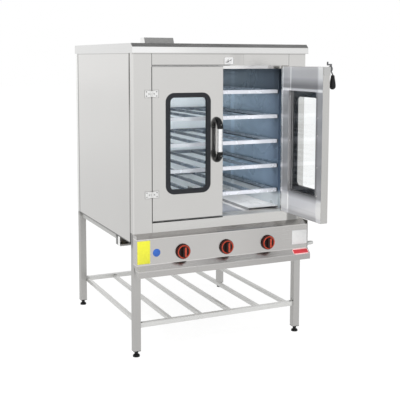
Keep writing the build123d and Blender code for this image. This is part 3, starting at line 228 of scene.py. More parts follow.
def lit_and_shaded_metal(name, axis, edge, first, second, rough, metallic, soft=0.002):
    """Metal of two tones that meet at a place along one axis: a lit tone, and a tone of painted shade."""
    material, tree, output, place = new_material(name)
    parts = add(tree, "ShaderNodeSeparateXYZ", Vector=place).outputs
    cloud = pattern(tree, place, (1.0, 1.0, 1.0), 1.0 / (60 * MM), 2.0)
    side = add(tree, "ShaderNodeMapRange", Value=parts[axis], From_Min=edge - soft, From_Max=edge + soft)
    body = add(tree, "ShaderNodeMix", MIX_COLOUR, Factor=side.outputs["Result"], in_6=first, in_7=second)
    drift = ramp(tree, cloud, (0.3, grey(0.94)), (0.7, grey(1.0)))
    tint = add(tree, "ShaderNodeMix", MULTIPLY_COLOUR, Factor=1.0, in_6=body.outputs["Result"], in_7=drift)
    metallic = add(tree, "ShaderNodeMapRange", Value=side.outputs["Result"], To_Min=metallic[0],
                   To_Max=metallic[1]).outputs["Result"]
    finish_opaque(tree, output, tint.outputs["Result"], rough, 0.05, cloud, (0.3, 0.7), (0.05, 0.0003, cloud),
                  Metallic=metallic)
    return material


def moulded(name, colour, rough, grit_mm, tone=0.12, bump=0.15, coat=0.0, specular=0.3):
    """Moulded plastic or rubber: fine pitted grit in relief, tone and gloss that drift over the surface."""
    material, tree, output, place = new_material(name)
    grit = pattern(tree, place, (1.0, 1.0, 1.0), 1.0 / (grit_mm * MM), 2.0)
    drift = pattern(tree, place, (1.0, 1.0, 1.0), 1.0 / (grit_mm * 12 * MM), 2.0)
    tint = ramp(tree, drift, (0.35, shade(colour, 1.0 - tone)), (0.65, shade(colour, 1.0 + tone)))
    finish_opaque(tree, output, tint, rough, 0.05, drift, (0.35, 0.65), (bump, 0.0003, grit), Coat_Weight=coat,
                  Coat_Roughness=0.1, Specular_IOR_Level=specular)
    return material


def float_glass(name, colour):
    """Float glass: clear, with a slight wave in its surface."""
    material, tree, output, place = new_material(name)
    wave = pattern(tree, place, (1.0, 1.0, 0.4), 1.0 / (90 * MM), 1.0)
    tint = ramp(tree, wave, (0.3, colour), (0.7, shade(colour, 0.99)))
    relief = add(tree, "ShaderNodeBump", Strength=0.02, Distance=0.0002, Height=wave)
    surface = add(tree, "ShaderNodeBsdfPrincipled", Base_Color=tint, Roughness=0.0, IOR=1.2,
                  Transmission_Weight=1.0, Normal=relief.outputs["Normal"])
    add_link(tree, surface, output)
    return material


def printed_plate(name, colour, rough, border, size, centre, band_mm=3.0):
    """Printed label stock with a plain border and no words: a box distance from its edge picks the tone.

    The distance inward from the edge is half the size less the offset from the centre, along X and Z.
    """
    material, tree, output, place = new_material(name)
    shifted = add(tree, "ShaderNodeMapping", {"vector_type": "POINT"}, Vector=place,
                  Location=tuple(-c for c in centre))
    parts = add(tree, "ShaderNodeSeparateXYZ", Vector=shifted.outputs["Vector"])
    inward = []
    for axis, half in (("X", size[0] / 2), ("Z", size[1] / 2)):
        reach = add(tree, "ShaderNodeMath", {"operation": "ABSOLUTE"}, in_0=parts.outputs[axis])
        left = add(tree, "ShaderNodeMath", {"operation": "SUBTRACT"}, in_0=half, in_1=reach.outputs[0])
        inward.append(left.outputs[0])
    nearest = add(tree, "ShaderNodeMath", {"operation": "MINIMUM"}, in_0=inward[0], in_1=inward[1])
    inside = add(tree, "ShaderNodeMapRange", Value=nearest.outputs[0], From_Min=band_mm * MM * 0.8,
                 From_Max=band_mm * MM * 1.2)
    fade = pattern(tree, place, (1.0, 1.0, 1.0), 1.0 / (14 * MM), 2.0)
    body = ramp(tree, fade, (0.3, shade(colour, 0.96)), (0.7, shade(colour, 1.03)))
    tint = add(tree, "ShaderNodeMix", MIX_COLOUR, Factor=inside.outputs["Result"], in_6=border, in_7=body)
    finish_opaque(tree, output, tint.outputs["Result"], rough, 0.08, fade, (0.0, 1.0), (0.08, 0.0002, fade))
    return material


# ---------------------------------------------------------------- meshes


def build(name, ring_sets, material, body, smooth=True):
    """Closed skins from rings of points, one skin for each array of rings by points by three.

    Neighbouring rings are joined by quads and the first and last ring are closed by one face each.
    """
    points, faces, start = [], [], 0
    for rings in ring_sets:
        count, around = rings.shape[:2]
        index = np.arange(count * around).reshape(count, around) + start
        after = np.roll(index, -1, axis=1)
        quads = np.stack((index[:-1], after[:-1], after[1:], index[1:]), axis=-1).reshape(-1, 4)
        faces += quads.tolist() + [index[0][::-1].tolist(), index[-1].tolist()]
        points.append(rings.reshape(-1, 3))
        start += count * around
    mesh = bpy.data.meshes.new(name)
    mesh.from_pydata(np.concatenate(points).tolist(), [], faces)
    mesh.validate()
    mesh.materials.append(material)
    mesh.polygons.foreach_set("use_smooth", [smooth] * len(mesh.polygons))
    mesh.update()
    piece = bpy.data.objects.new(name, mesh)
    bpy.context.scene.collection.objects.link(piece)
    if smooth:
        sharpen(piece)
    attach(piece, body)
    return piece


def sharpen(piece, angle=40.0):
    """Marks edges sharper than an angle, so flat faces stay flat beside rounded ones."""
    piece.data.set_sharp_from_angle(angle=math.radians(angle))


def spun(profile, centre, outward, around=40):
    """Surface of revolution: each (radius, height) of the profile becomes a circle round the outward axis."""
    outward = Vector(outward).normalized()
    side = outward.orthogonal().normalized()
    other = outward.cross(side)
    basis = np.array([side, other, outward])
    turn = np.linspace(0, 2 * np.pi, around, endpoint=False)
    radius, height = np.array(profile, float).T * MM
    local = np.stack((np.outer(radius, np.cos(turn)), np.outer(radius, np.sin(turn)),
                      np.outer(height, np.ones(around))), axis=-1)
    return local @ basis + np.array(centre, float) * MM


def rounded_outline(width, height, radius, per_corner=10):
    """Points round a rectangle with rounded corners: each corner centre plus a quarter circle."""
    turn = np.linspace(0, np.pi / 2, per_corner)
    turns = np.concatenate([turn + quarter * np.pi / 2 for quarter in range(4)])
    corner = np.repeat(np.array([(1, 1), (-1, 1), (-1, -1), (1, -1)], float), per_corner, axis=0)
    centre = corner * (width / 2 - radius, height / 2 - radius)
    return centre + radius * np.stack((np.cos(turns), np.sin(turns)), axis=-1)


def raised(width, height, radius, steps, centre, across, up):
    """Rounded outline carried outward through (inset, height) steps, laid on the plane of two directions."""
    across, up = Vector(across).normalized(), Vector(up).normalized()
    basis = np.array([across, up, across.cross(up)])
    rings = []
    for inset, level in steps:
        flat = rounded_outline(width - 2 * inset, height - 2 * inset, max(radius - inset, 0.05))
        rings.append(np.column_stack((flat, np.full(len(flat), level))))
    return np.array(rings) * MM @ basis + np.array(centre, float) * MM


def round_bar(path, radius, around=16):
    """Tube along a path: circles square to the local direction of the path."""
    path = np.array(path, float)
    ahead = np.gradient(path, axis=0)
    ahead /= np.linalg.norm(ahead, axis=1)[:, None]
    first = Vector(ahead[0]).orthogonal().normalized()
    side = np.cross(ahead, np.cross(np.array(first), ahead))
    side /= np.linalg.norm(side, axis=1)[:, None]
    other = np.cross(ahead, side)
    turn = np.linspace(0, 2 * np.pi, around, endpoint=False)
    radius = np.broadcast_to(np.asarray(radius, float), (len(path),))[:, None, None]
    ring = side[:, None, :] * np.cos(turn)[None, :, None] + other[:, None, :] * np.sin(turn)[None, :, None]
    return (path[:, None, :] + ring * radius) * MM


# ---------------------------------------------------------------- settings


def colour_setting(name, description, code):
    """Colour shown in the sidebar, given as sRGB hex."""
    return FloatVectorProperty(name=name, description=description, subtype="COLOR", size=4, min=0, max=1,
                               default=linear(code))


class OvenFinishSettings(bpy.types.PropertyGroup):
    """Colours of the oven's metal, plastic, rubber and plates."""

    cabinet_steel: colour_setting("Cabinet steel", "Ground stainless sheet of the cabinet", "#D6D5D3")
    cover_steel: colour_setting("Cover steel", "Brighter sheet of the top cover", "#E6E6E5")
    panel_steel: colour_setting("Panel steel", "Sheet of the control panel", "#CDCBC9")
    # The backs of the doors take much of their lightness from painted reflections in INNER_MARKS
    inner_steel: colour_setting("Inner door steel", "Bright sheet on the backs of the doors", "#88888A")
    tube: colour_setting("Stand tube", "Square tube of the stand", "#BFBEBC")
    rack: colour_setting("Rack", "Bright plated rack tube", "#E3E6EE")
    knob_red: colour_setting("Knob red", "Ring and grip bar of the knobs", "#B43F28")
    black: colour_setting("Black plastic", "Handle ends, latch knob, feet and knob skirts", "#0F1011")
    rubber: colour_setting("Window rubber", "Rubber round the glass", "#26282C")
    yellow_plate: colour_setting("Yellow plate", "Blank plate at the left of the panel", "#E2E03A")
    blue_disc: colour_setting("Blue disc", "Blank round plate", "#2F62B8")
    white_plate: colour_setting("White plate", "Blank rating plate", "#DCDCDC")
    red_plate: colour_setting("Red plate", "Blank badge on the apron", "#C8343C")


class OvenDetailSettings(bpy.types.PropertyGroup):
    """Sizes of the small parts that are added to the frame."""

    screw_head: FloatProperty(name="Hinge screw head", description="Diameter of a hinge screw's head",
                              subtype="DISTANCE", unit="LENGTH", default=6.4 * MM, min=0.002, max=0.02)
    rivet_head: FloatProperty(name="Rivet head", description="Diameter of a blind rivet's head",
                              subtype="DISTANCE", unit="LENGTH", default=8.0 * MM, min=0.002, max=0.02)
    plate_thickness: FloatProperty(name="Plate thickness", description="How far a plate stands proud",
                                   subtype="DISTANCE", unit="LENGTH", default=0.8 * MM, min=0.0002, max=0.003)
    back_screws: IntProperty(name="Back screws", description="Screws down each edge of the back panel",
                             default=6, min=2, max=20)


class OvenStageSettings(bpy.types.PropertyGroup):
    """Camera, lamps and room light."""

    focal_length: FloatProperty(name="Focal length", description="Camera focal length in millimetres",
                                default=71.56, min=10, max=300)
    key_power: FloatProperty(name="Key lamp", description="Power of the large lamp above", subtype="POWER",
                             unit="POWER", default=190.0, min=0)
    fill_power: FloatProperty(name="Fill lamp", description="Power of the lamp at the right", subtype="POWER",
                              unit="POWER", default=60.0, min=0)
    cavity_power: FloatProperty(name="Cavity lamp", description="Power that the lamps inside the cavity share",
                                subtype="POWER", unit="POWER", default=4.5, min=0)
    room_light: FloatProperty(name="Room light", description="Strength of the room on matt surfaces",
                              default=0.62, min=0, max=2)


def finish_settings():
    return bpy.context.scene.oven_finish


def detail_settings():
    return bpy.context.scene.oven_detail


# ---------------------------------------------------------------- finishes of the frame's own nodes


# Places in millimetres where a sheet changes tone, set to follow the photograph: joint lines, dark lines painted
# over the gaps round the doors as painted shade, and bright or dark bands that are reflections or shadow there
# and paint here, so they stay put in other views. Each is ({axis: (from, to)}, factor, softness).
# Reach along Y of the sheets in the cabinet's front, with its softness
FRONT = (-516.0, -513.5, 0.5)
HINGE_HEIGHTS = (863.5, 1390.0)


def hinge_shadows(low_x, high_x):
    """Shadow round each hinge leaf on the sheet behind it."""
    return [({"Y": FRONT, "X": (low_x, high_x), "Z": (z - 21.0, z + 21.0)}, 0.72, 3.0) for z in HINGE_HEIGHTS]


# Top cover: darker side faces, a painted highlight on the left of the front lip, painted shade along its lower edge
COVER_MARKS = (({"X": (-522.0, -520.0)}, 0.86, 0.2), ({"X": (520.0, 522.0)}, 0.86, 0.2),
               ({"Y": (-536.0, -534.0, 0.5), "X": (-900.0, -250.0)}, 1.2, 150.0),
               ({"Y": (-536.0, -534.0, 0.5), "Z": (1598.0, 1602.0)}, 0.8, 1.5))
# Side panels: painted shade under the cover, down the recess by the stile (darkest at the top), along the back edge
# and along the foot
SIDE_MARKS = (({"Z": (1595.0, 1600.0)}, 0.7, 1.5), ({"Y": (-472.0, -462.0)}, 0.62, 3.0),
              ({"Y": (-472.0, -462.0), "Z": (1330.0, 1600.0, 90.0)}, 0.3, 3.0),
              ({"Y": (460.0, 482.0)}, 0.5, 4.0), ({"Z": (606.0, 613.0)}, 0.2, 2.0))
# Stiles: painted shade under the cover, a painted highlight down the left stile's outer edge, the open right door's
# painted shadow below it, and painted shade round the hinge leaves
STILE_MARKS = (({"Y": FRONT, "Z": (1594.0, 1600.0)}, 0.7, 3.0), ({"Y": FRONT, "X": (-516.0, -508.0)}, 1.12, 3.0),
               ({"Y": FRONT, "X": (405.0, 480.0), "Z": (650.0, 712.0)}, 0.42, 14.0),
               *hinge_shadows(-449.0, -410.0))
# Head rail: painted shade in the gaps at the door edges and under the cover, a darker line and band right of the
# middle, a black line painted over the gap above the left door, and a painted highlight on the stop in the doorway
HEAD_MARKS = (({"Y": FRONT, "X": (-411.0, -406.5)}, 0.35, 0.8), ({"Y": FRONT, "X": (406.5, 411.0)}, 0.6, 0.8),
              ({"Y": FRONT, "X": (121.0, 124.5)}, 0.88, 0.8), ({"Y": FRONT, "X": (50.0, 122.0)}, 0.9, 20.0),
              ({"Y": FRONT, "Z": (1594.0, 1600.0)}, 0.7, 3.0),
              ({"Y": FRONT, "Z": (1530.0, 1539.0, 1.0), "X": (-410.0, 40.0, 5.0)}, 0.02, 1.0),
              ({"Y": (-500.0, -414.0), "X": (-420.0, 300.0), "Z": (1510.0, 1534.0)}, 1.8, 2.0))
# Sill: painted shade in the gaps at the door edges, a black line painted over the gap under the left door, and the
# open right door's painted shadow on the top
SILL_MARKS = (({"Y": FRONT, "X": (-411.0, -407.0)}, 0.55, 0.8), ({"Y": FRONT, "X": (407.0, 411.0)}, 0.55, 0.8),
              ({"Y": FRONT, "Z": (712.0, 719.0, 1.0), "X": (-410.0, 3.0)}, 0.02, 1.0),
              ({"Z": (716.0, 719.0), "Y": (-450.0, -414.0, 10.0), "X": (330.0, 420.0, 30.0)}, 0.4, 1.0))
# Door skins: dark lines painted over the gaps at the top, foot and hinge edge of the left door, painted shade on the
# right door's free end, and painted shade round the hinge leaves
DOOR_MARKS = (({"Y": FRONT, "Z": (1528.5, 1533.0), "X": (-410.0, 4.0)}, 0.25, 0.6),
              ({"Y": FRONT, "Z": (719.0, 722.5), "X": (-410.0, 4.0)}, 0.25, 0.6),
              ({"X": (-407.0, -405.4), "Y": (-514.4, -470.0)}, 0.3, 0.3),
              ({"Y": (-926.0, -924.0)}, 0.86, 0.4),
              *hinge_shadows(-410.0, -369.0))
# Control panel: painted shade below the lower fold, over the right part and down the right end, and painted
# highlights along three folds
PANEL_MARKS = (({"Z": (440.0, 505.0)}, 0.86, 2.0), ({"X": (150.0, 620.0)}, 0.88, 150.0),
               ({"Z": (640.2, 643.4)}, 1.45, 0.6), ({"Z": (505.0, 508.2)}, 1.35, 0.6),
               ({"Z": (477.6, 480.8)}, 1.35, 0.6), ({"X": (511.0, 516.0), "Z": (500.0, 662.0)}, 0.4, 1.0))
# Backs of the doors: painted reflections and highlights lighten the top panel, the window's top edge, a fold line,
# the hinge side, the lower panel, the foot and the free edge
INNER_MARKS = (({"Z": (1452.0, 1560.0)}, 2.3, 22.0), ({"Z": (1400.0, 1413.0)}, 2.6, 4.0),
               ({"Y": (-612.0, -604.0), "Z": (1130.0, 1540.0)}, 2.4, 2.0),
               ({"Y": (-532.0, -520.0)}, 2.0, 3.0), ({"Z": (755.0, 830.0)}, 3.2, 16.0),
               ({"Y": (-600.0, -520.0), "Z": (700.0, 1450.0)}, 1.45, 8.0),
               ({"Z": (700.0, 752.0)}, 2.0, 14.0), ({"Y": (-930.0, -880.0)}, 1.6, 8.0))
# Flue collar: a painted highlight down one edge and a darker band from 1640 to 1662 mm
FLUE_MARKS = (({"X": (-99.6, -98.0)}, 1.6, 0.2), ({"Z": (1640.0, 1662.0)}, 0.7, 8.0))
# Legs: painted shade at their tops, under the cabinet
LEG_MARKS = (({"Z": (590.0, 662.0)}, 0.6, 12.0),)
# Rails under the cabinet: painted shade along their tops under the panels' overhang, and at the burner channel's
# open end
RAIL_MARKS = (({"Z": (598.0, 626.0)}, 0.3, 6.0), ({"Y": (-300.0, -240.0), "Z": (550.0, 606.0)}, 0.5, 4.0))
# Hinge leaves: painted shade on the edges beside the door
HINGE_MARKS = (({"Y": (-516.4, -514.0)}, 0.3, 0.2),)
# Keeper: painted shade along its lower edge and down both sides
KEEPER_MARKS = (({"Z": (1535.0, 1541.0)}, 0.35, 1.5), ({"X": (3.0, 9.0)}, 0.6, 1.5), ({"X": (60.0, 67.0)}, 0.5, 1.5))
BAFFLE_MARKS = (({"X": (216.4, 219.4)}, 0.3, 0.5), ({"Y": (-414.0, -412.0)}, 0.6, 0.3))
# Tone of the liner: slate at the doorway and paler at the back, partly its own blue-grey and partly painted light
# and shade; darker up the wall with a dark top bay, painted shade
LINER_DEPTH = ((-420.0, linear("#708298")), (-60.0, linear("#9AB2C8")), (290.0, linear("#C0D8EC")))
LINER_HEIGHT = ((700.0, grey(1.0)), (1370.0, grey(0.6)), (1400.0, grey(0.25)))
LINER_MARKS = (({"Y": (146.0, 196.0)}, 1.3, 10.0),)


def make_finishes():
    """One material for each slot of the record, and a few that single nodes take instead."""
    s = finish_settings()
    cabinet = tuple(s.cabinet_steel)

    def ground(name, marks):
        return sheet_metal(name, cabinet, 0.2, 2.2, "xy", tone=0.02, bump=0.04, marks=marks)

    side = ground("side_stainless_sheet", SIDE_MARKS)
    stile = ground("stile_stainless_sheet", STILE_MARKS)
    door = ground("door_stainless_sheet", DOOR_MARKS)
    return {
        # Stainless sheet, belt ground: even, pale, soft reflections drawn out across the grain
        "satin_steel": ground("ground_stainless_sheet", ()),
        # The control panel, a little darker
        "panel_steel": sheet_metal("panel_stainless_sheet", tuple(s.panel_steel), 0.26, 2.0, "x", tone=0.015,
                                   bump=0.02, smear=0.02, marks=PANEL_MARKS),
        # Bright annealed sheet behind the doors: part mirror, smeared along its grain; its brightest bands are
        # painted reflections
        "inner_door_steel": sheet_metal("bright_annealed_with_painted_reflections", tuple(s.inner_steel), 0.2, 2.0, "z",
                                        tone=0.06, smear=0.05, bump=0.03, metallic=0.35, marks=INNER_MARKS),
        # Liner sheet: cool grey-blue; darker near the doorway, partly its own tone and partly painted shade, and
        # darkest under the ceiling, painted shade
        "liner_steel": tinted_and_shaded_liner("toned_liner_sheet", LINER_DEPTH, LINER_HEIGHT, linear("#D5DCE0"), 0.3, 0.4,
                                    LINER_MARKS),
        # Drawn square tube, satin along its length, with painted shade at the tops of the legs
        "galvanised_tube": sheet_metal("drawn_square_tube", tuple(s.tube), 0.38, 2.0, "z", tone=0.04,
                                       marks=LEG_MARKS),
        "galvanised_sheet": sheet_metal("zinc_coated_sheet", linear("#F0F0EE"), 0.22, 4.0, "xy", tone=0.04,
                                        cloud_mm=18.0),
        # Bright on the front rail of a rack, slate on the bars behind it, where the slate is painted shade
        "plated_rack": lit_and_shaded_metal("bright_plated_tube", "Y", -0.389, tuple(s.rack), linear("#66727E"), 0.25,
                                      (0.3, 0.3)),
        "dark_runner": sheet_metal("oven_darkened_runner", linear("#3A414A"), 0.45, 2.0, "y", tone=0.15),
        "hinge_steel": sheet_metal("polished_hinge_steel", linear("#E6E6E5"), 0.25, 1.5, "z", tone=0.05,
                                   metallic=0.8, marks=HINGE_MARKS),
        "latch_keeper": sheet_metal("bright_keeper_sheet", linear("#EDEDED"), 0.3, 1.5, "z", tone=0.04,
                                    metallic=0.5, marks=KEEPER_MARKS),
        "latch_case": sheet_metal("latch_case_sheet", linear("#C6C6C5"), 0.25, 1.5, "z", tone=0.06),
        # Pale on the side the hand sees, dark on the side towards the door, where the dark is painted shade
        "polished_grip": lit_and_shaded_metal("polished_grip_tube", "Y", -0.5525, linear("#FDFDFD"), linear("#5E5E5F"),
                                        0.18, (0.9, 0.9), soft=0.001),
        "bright_channel": sheet_metal("bright_glazing_channel", linear("#F0F0F1"), 0.2, 1.5, "z", tone=0.05,
                                      metallic=0.4),
        "window_rubber": moulded("extruded_window_rubber", tuple(s.rubber), 0.5, 0.9, tone=0.15, bump=0.2,
                                 specular=0.25),
        "oven_glass": float_glass("toughened_float_glass", linear("#FEFFFF")),
        "black_plastic": moulded("moulded_black_nylon", tuple(s.black), 0.25, 0.7, tone=0.15, bump=0.1),
        "knob_plastic": moulded("moulded_red_phenolic", tuple(s.knob_red), 0.3, 0.8, tone=0.08, bump=0.06,
                                coat=0.2),
        "gas_pipe": sheet_metal("zinc_plated_pipe", linear("#DADBDA"), 0.35, 2.0, "x", tone=0.06, metallic=0.8),
        "valve_brass": sheet_metal("turned_brass", linear("#B9975A"), 0.3, 1.5, "z", tone=0.08),
        "mineral_wool": moulded("mineral_wool_slab", linear("#B59E62"), 0.95, 1.6, tone=0.25, bump=1.0,
                                specular=0.1),
        # Nodes that differ from their slot: sheets with marks of their own, the cavity's back, baffles and
        # floor, the lower shelf, the rails under the cabinet and the dark lever
        "side_panel_left": side, "side_panel_right": side, "stile_left": stile, "stile_right": stile,
        "left_door_outer_skin": door, "right_door_outer_skin": door,
        "head_rail": ground("head_stainless_sheet", HEAD_MARKS),
        "sill_rail": sheet_metal("sill_stainless_sheet", cabinet, 0.2, 2.2, "x", tone=0.02, bump=0.04,
                                 marks=SILL_MARKS, scuffed={"Z": (716.0, 719.0)}),
        "top_cover": sheet_metal("cover_stainless_sheet", tuple(s.cover_steel), 0.2, 2.2, "xy", tone=0.03,
                                 bump=0.04, marks=COVER_MARKS),
        "flue_collar": sheet_metal("flue_zinc_sheet", linear("#BDBDBC"), 0.22, 4.0, "xy", tone=0.04,
                                   cloud_mm=18.0, marks=FLUE_MARKS),
        "cavity_back_wall": sheet_metal("pale_back_wall", linear("#EAF2F6"), 0.35, 3.0, "z", tone=0.05,
                                        metallic=0.1),
        "floor_baffles": sheet_metal("baffle_sheet", linear("#FDFDFE"), 0.3, 2.0, "y", tone=0.03, metallic=0.1,
                                     marks=BAFFLE_MARKS),
        "cavity_floor": sheet_metal("cavity_floor_sheet", linear("#B0B2B8"), 0.35, 2.0, "y", tone=0.05,
                                    metallic=0.2),
        # The lower shelf's tube, paler than the stand's
        "lower_shelf": sheet_metal("pale_shelf_tube", linear("#DCDCDA"), 0.3, 2.0, "y", tone=0.03,
                                   metallic=0.7),
        # Rails with painted shade from RAIL_MARKS
        "frame_rails": sheet_metal("rail_tube_painted_shade", linear("#C9C9C7"), 0.35, 2.0, "y", tone=0.04,
                                   marks=RAIL_MARKS),
        "latch_lever": sheet_metal("dark_lever_steel", linear("#77787A"), 0.25, 1.5, "z", tone=0.1),
    }


class OVEN_OT_finish_frame(bpy.types.Operator):
    """Gives every node of the frame the material of its slot, or the one made for that node"""

    bl_idname = "oven.finish_frame"
    bl_label = "Finish the frame"

    def execute(self, context):
        finishes = make_finishes()
        for row in frame["record"]["subparts"]:
            node = row["node"]
            materials = frame["nodes"][node].data.materials
            materials.clear()
            materials.append(finishes.get(node) or finishes[row["material_slot"]])
        return {"FINISHED"}


# ---------------------------------------------------------------- small parts

DOOR_FACE_Y = -515.0
HINGE_AXIS_X = 410.0
HINGE_AXIS_Y = -519.0
# Faces of the right door, which rests open at a right angle, and of the left door's well and strip
OPEN_LEAF_X, OPEN_WELL_X, OPEN_STRIP_X, OPEN_EDGE_Y = 408.0, 377.5, 364.0, -520.0
LEFT_EDGE_X, LEFT_WELL_Y, LEFT_STRIP_Y = -409.0, -486.5, -473.0
# Rivets: distance from the door's hinge edge, and heights
WELL_RIVETS = (70.3, (1368.0, 1125.0, 886.0))
STRIP_RIVETS = (362.5, (1407.0, 1268.0, 1176.0, 1010.0, 860.0))
# Handle screws: place and the way each head faces
HANDLE_SCREWS = (((-36.0, -571.2, 1222.0), (0, -0.9, 0.42)), ((-36.0, -571.2, 1055.0), (0, -0.9, -0.42)))
BACK_Y, BACK_EDGE_X, BACK_ENDS_Z = 515.0, 495.0, (640.0, 1570.0)
# The ledge under the panel slopes; the badge lies on its middle
LEDGE_SLOPE, BADGE_MIDDLE = (0, 30.0, 27.0), (460.0, -582.0, 492.5)
PANEL_Y = -567.0
KNOB_Z = 560.0
KNOBS = (("left", -256.0), ("centre", 0.0), ("right", 256.0))
KNOB_BACK_Y = -572.0

KNOB_SKIRT = ((1.0, 0.0), (38.6, 0.0), (40.0, 1.2), (40.0, 4.6), (39.0, 6.4), (36.8, 7.0), (36.6, 9.8),
              (36.0, 10.6), (34.0, 10.8), (1.0, 8.0))
KNOB_RING = ((1.0, 8.4), (35.6, 10.4), (35.8, 11.6), (35.0, 12.8), (33.6, 13.6), (32.2, 13.9), (30.8, 13.4),
             (29.6, 12.2), (28.8, 10.4), (28.4, 9.0), (1.0, 9.0))
KNOB_DISH = ((1.0, 7.5), (29.2, 9.4), (28.8, 10.6), (22.0, 10.2), (10.0, 9.6), (1.0, 9.6))
KNOB_BAR_STEPS = ((0.0, 7.0), (0.4, 14.0), (0.9, 18.6), (1.7, 20.6), (2.9, 21.4), (4.5, 21.6))
KNOB_CAP_STEPS = ((0.0, 20.0), (0.0, 21.9), (0.5, 22.6), (1.5, 23.0))


class OVEN_OT_knobs(bpy.types.Operator):
    """Replaces each knob by a maroon skirt, a red ring, a dark dish and a grip bar whose dark body is painted shade,
    with a red face
    """

    bl_idname = "oven.knobs"
    bl_label = "Control knobs"

    def execute(self, context):
        s = finish_settings()
        red = moulded("knob_ring_red_phenolic", tuple(s.knob_red), 0.25, 0.9, tone=0.1, bump=0.06, coat=0.3)
        maroon = moulded("knob_skirt_maroon_phenolic", linear("#3A1511"), 0.35, 0.8, tone=0.15, bump=0.1)
        dark = moulded("knob_dark_dish_and_bar_shade", linear("#1E0D0B"), 0.45, 0.8, tone=0.15, bump=0.1)
        for name, x in KNOBS:
            centre, body = (x, KNOB_BACK_Y, KNOB_Z), "knob_" + name
            skirt = build(f"knob_skirt_{name}", [spun(KNOB_SKIRT, centre, (0, -1, 0), 56)], maroon, body)
            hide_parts("knob_" + name)
            build(f"knob_ring_{name}", [spun(KNOB_RING, centre, (0, -1, 0), 56)], red, body)
            build(f"knob_dish_{name}", [spun(KNOB_DISH, centre, (0, -1, 0), 56)], dark, body)
            # The grip bar's dark body is painted shade on its left flank; the red cap sits right of the middle as
            # its face
            bar = raised(24.0, 60.0, 9.0, KNOB_BAR_STEPS, centre, (1, 0, 0), (0, 0, 1))
            build(f"knob_bar_{name}", [bar], dark, body)
            cap = raised(11.0, 50.0, 4.6, KNOB_CAP_STEPS, (x + 5.4, KNOB_BACK_Y, KNOB_Z), (1, 0, 0), (0, 0, 1))
            build(f"knob_cap_{name}", [cap], red, body)
        return {"FINISHED"}


def dome_head(diameter, rise):
    """Low domed head with a sunk middle, as (radius, height) steps in millimetres."""
    r = diameter / 2
    return ((0.3, 0.0), (r, 0.0), (r, rise * 0.25), (r * 0.9, rise * 0.65), (r * 0.66, rise * 0.95),
            (r * 0.4, rise), (r * 0.3, rise * 0.55), (0.3, rise * 0.5))


class OVEN_OT_hinge_screws(bpy.types.Operator):
    """Adds the three screws of each hinge leaf"""

    bl_idname = "oven.hinge_screws"
    bl_label = "Hinge screws"

    def execute(self, context):
        head = dome_head(detail_settings().screw_head / MM, 1.4)
        steel = sheet_metal("hinge_screw_steel", linear("#8A8A89"), 0.3, 1.2, "x", tone=0.1)
        spots = [(u, z + dz) for z in HINGE_HEIGHTS for u, dz in ((14.0, 0.0), (28.5, 11.0), (28.5, -11.0))]
        out_y = DOOR_FACE_Y - 2.0
        sets = (("frame", "cabinet", (0, -1, 0), [(hand * (HINGE_AXIS_X + u), out_y, z)
                                                  for hand in (-1, 1) for u, z in spots]),
                ("left_door", "left_door", (0, -1, 0), [(-HINGE_AXIS_X + u, out_y, z) for u, z in spots]),
                ("right_door", "right_door", (1, 0, 0), [(OPEN_LEAF_X, HINGE_AXIS_Y - u, z) for u, z in spots]))
        for name, body, outward, places in sets:
            build("hinge_screws_" + name, [spun(head, at, outward, 20) for at in places], steel, body)
        return {"FINISHED"}


class OVEN_OT_door_rivets(bpy.types.Operator):
    """Adds the rivets on the well wall and on the free edge strip of both doors"""

    bl_idname = "oven.door_rivets"
    bl_label = "Door rivets"

    def execute(self, context):
        head = dome_head(detail_settings().rivet_head / MM, 1.8)
        steel = sheet_metal("door_rivet_aluminium", linear("#E4E4E2"), 0.25, 1.2, "x", tone=0.06)
        (well, well_z), (strip, strip_z) = WELL_RIVETS, STRIP_RIVETS
        right = [spun(head, (OPEN_WELL_X, OPEN_EDGE_Y - well, z), (0, -1, 0), 20) for z in well_z]
        right += [spun(head, (OPEN_STRIP_X, OPEN_EDGE_Y - strip, z), (-1, 0, 0), 20) for z in strip_z]
        left = [spun(head, (LEFT_EDGE_X + well, LEFT_WELL_Y, z), (1, 0, 0), 20) for z in well_z]
        left += [spun(head, (LEFT_EDGE_X + strip, LEFT_STRIP_Y, z), (0, 1, 0), 20) for z in strip_z]
        build("door_rivets_right", right, steel, "right_door")
        build("door_rivets_left", left, steel, "left_door")
        return {"FINISHED"}


class OVEN_OT_handle_screws(bpy.types.Operator):
    """Adds the screw in each end of the door handle"""

    bl_idname = "oven.handle_screws"
    bl_label = "Handle screws"

    def execute(self, context):
        head = dome_head(6.0, 1.2)
        steel = sheet_metal("handle_screw_steel", linear("#B4B4B2"), 0.3, 1.2, "x", tone=0.08)
        build("handle_screws", [spun(head, spot, lean, 20) for spot, lean in HANDLE_SCREWS], steel, "left_door")
        return {"FINISHED"}


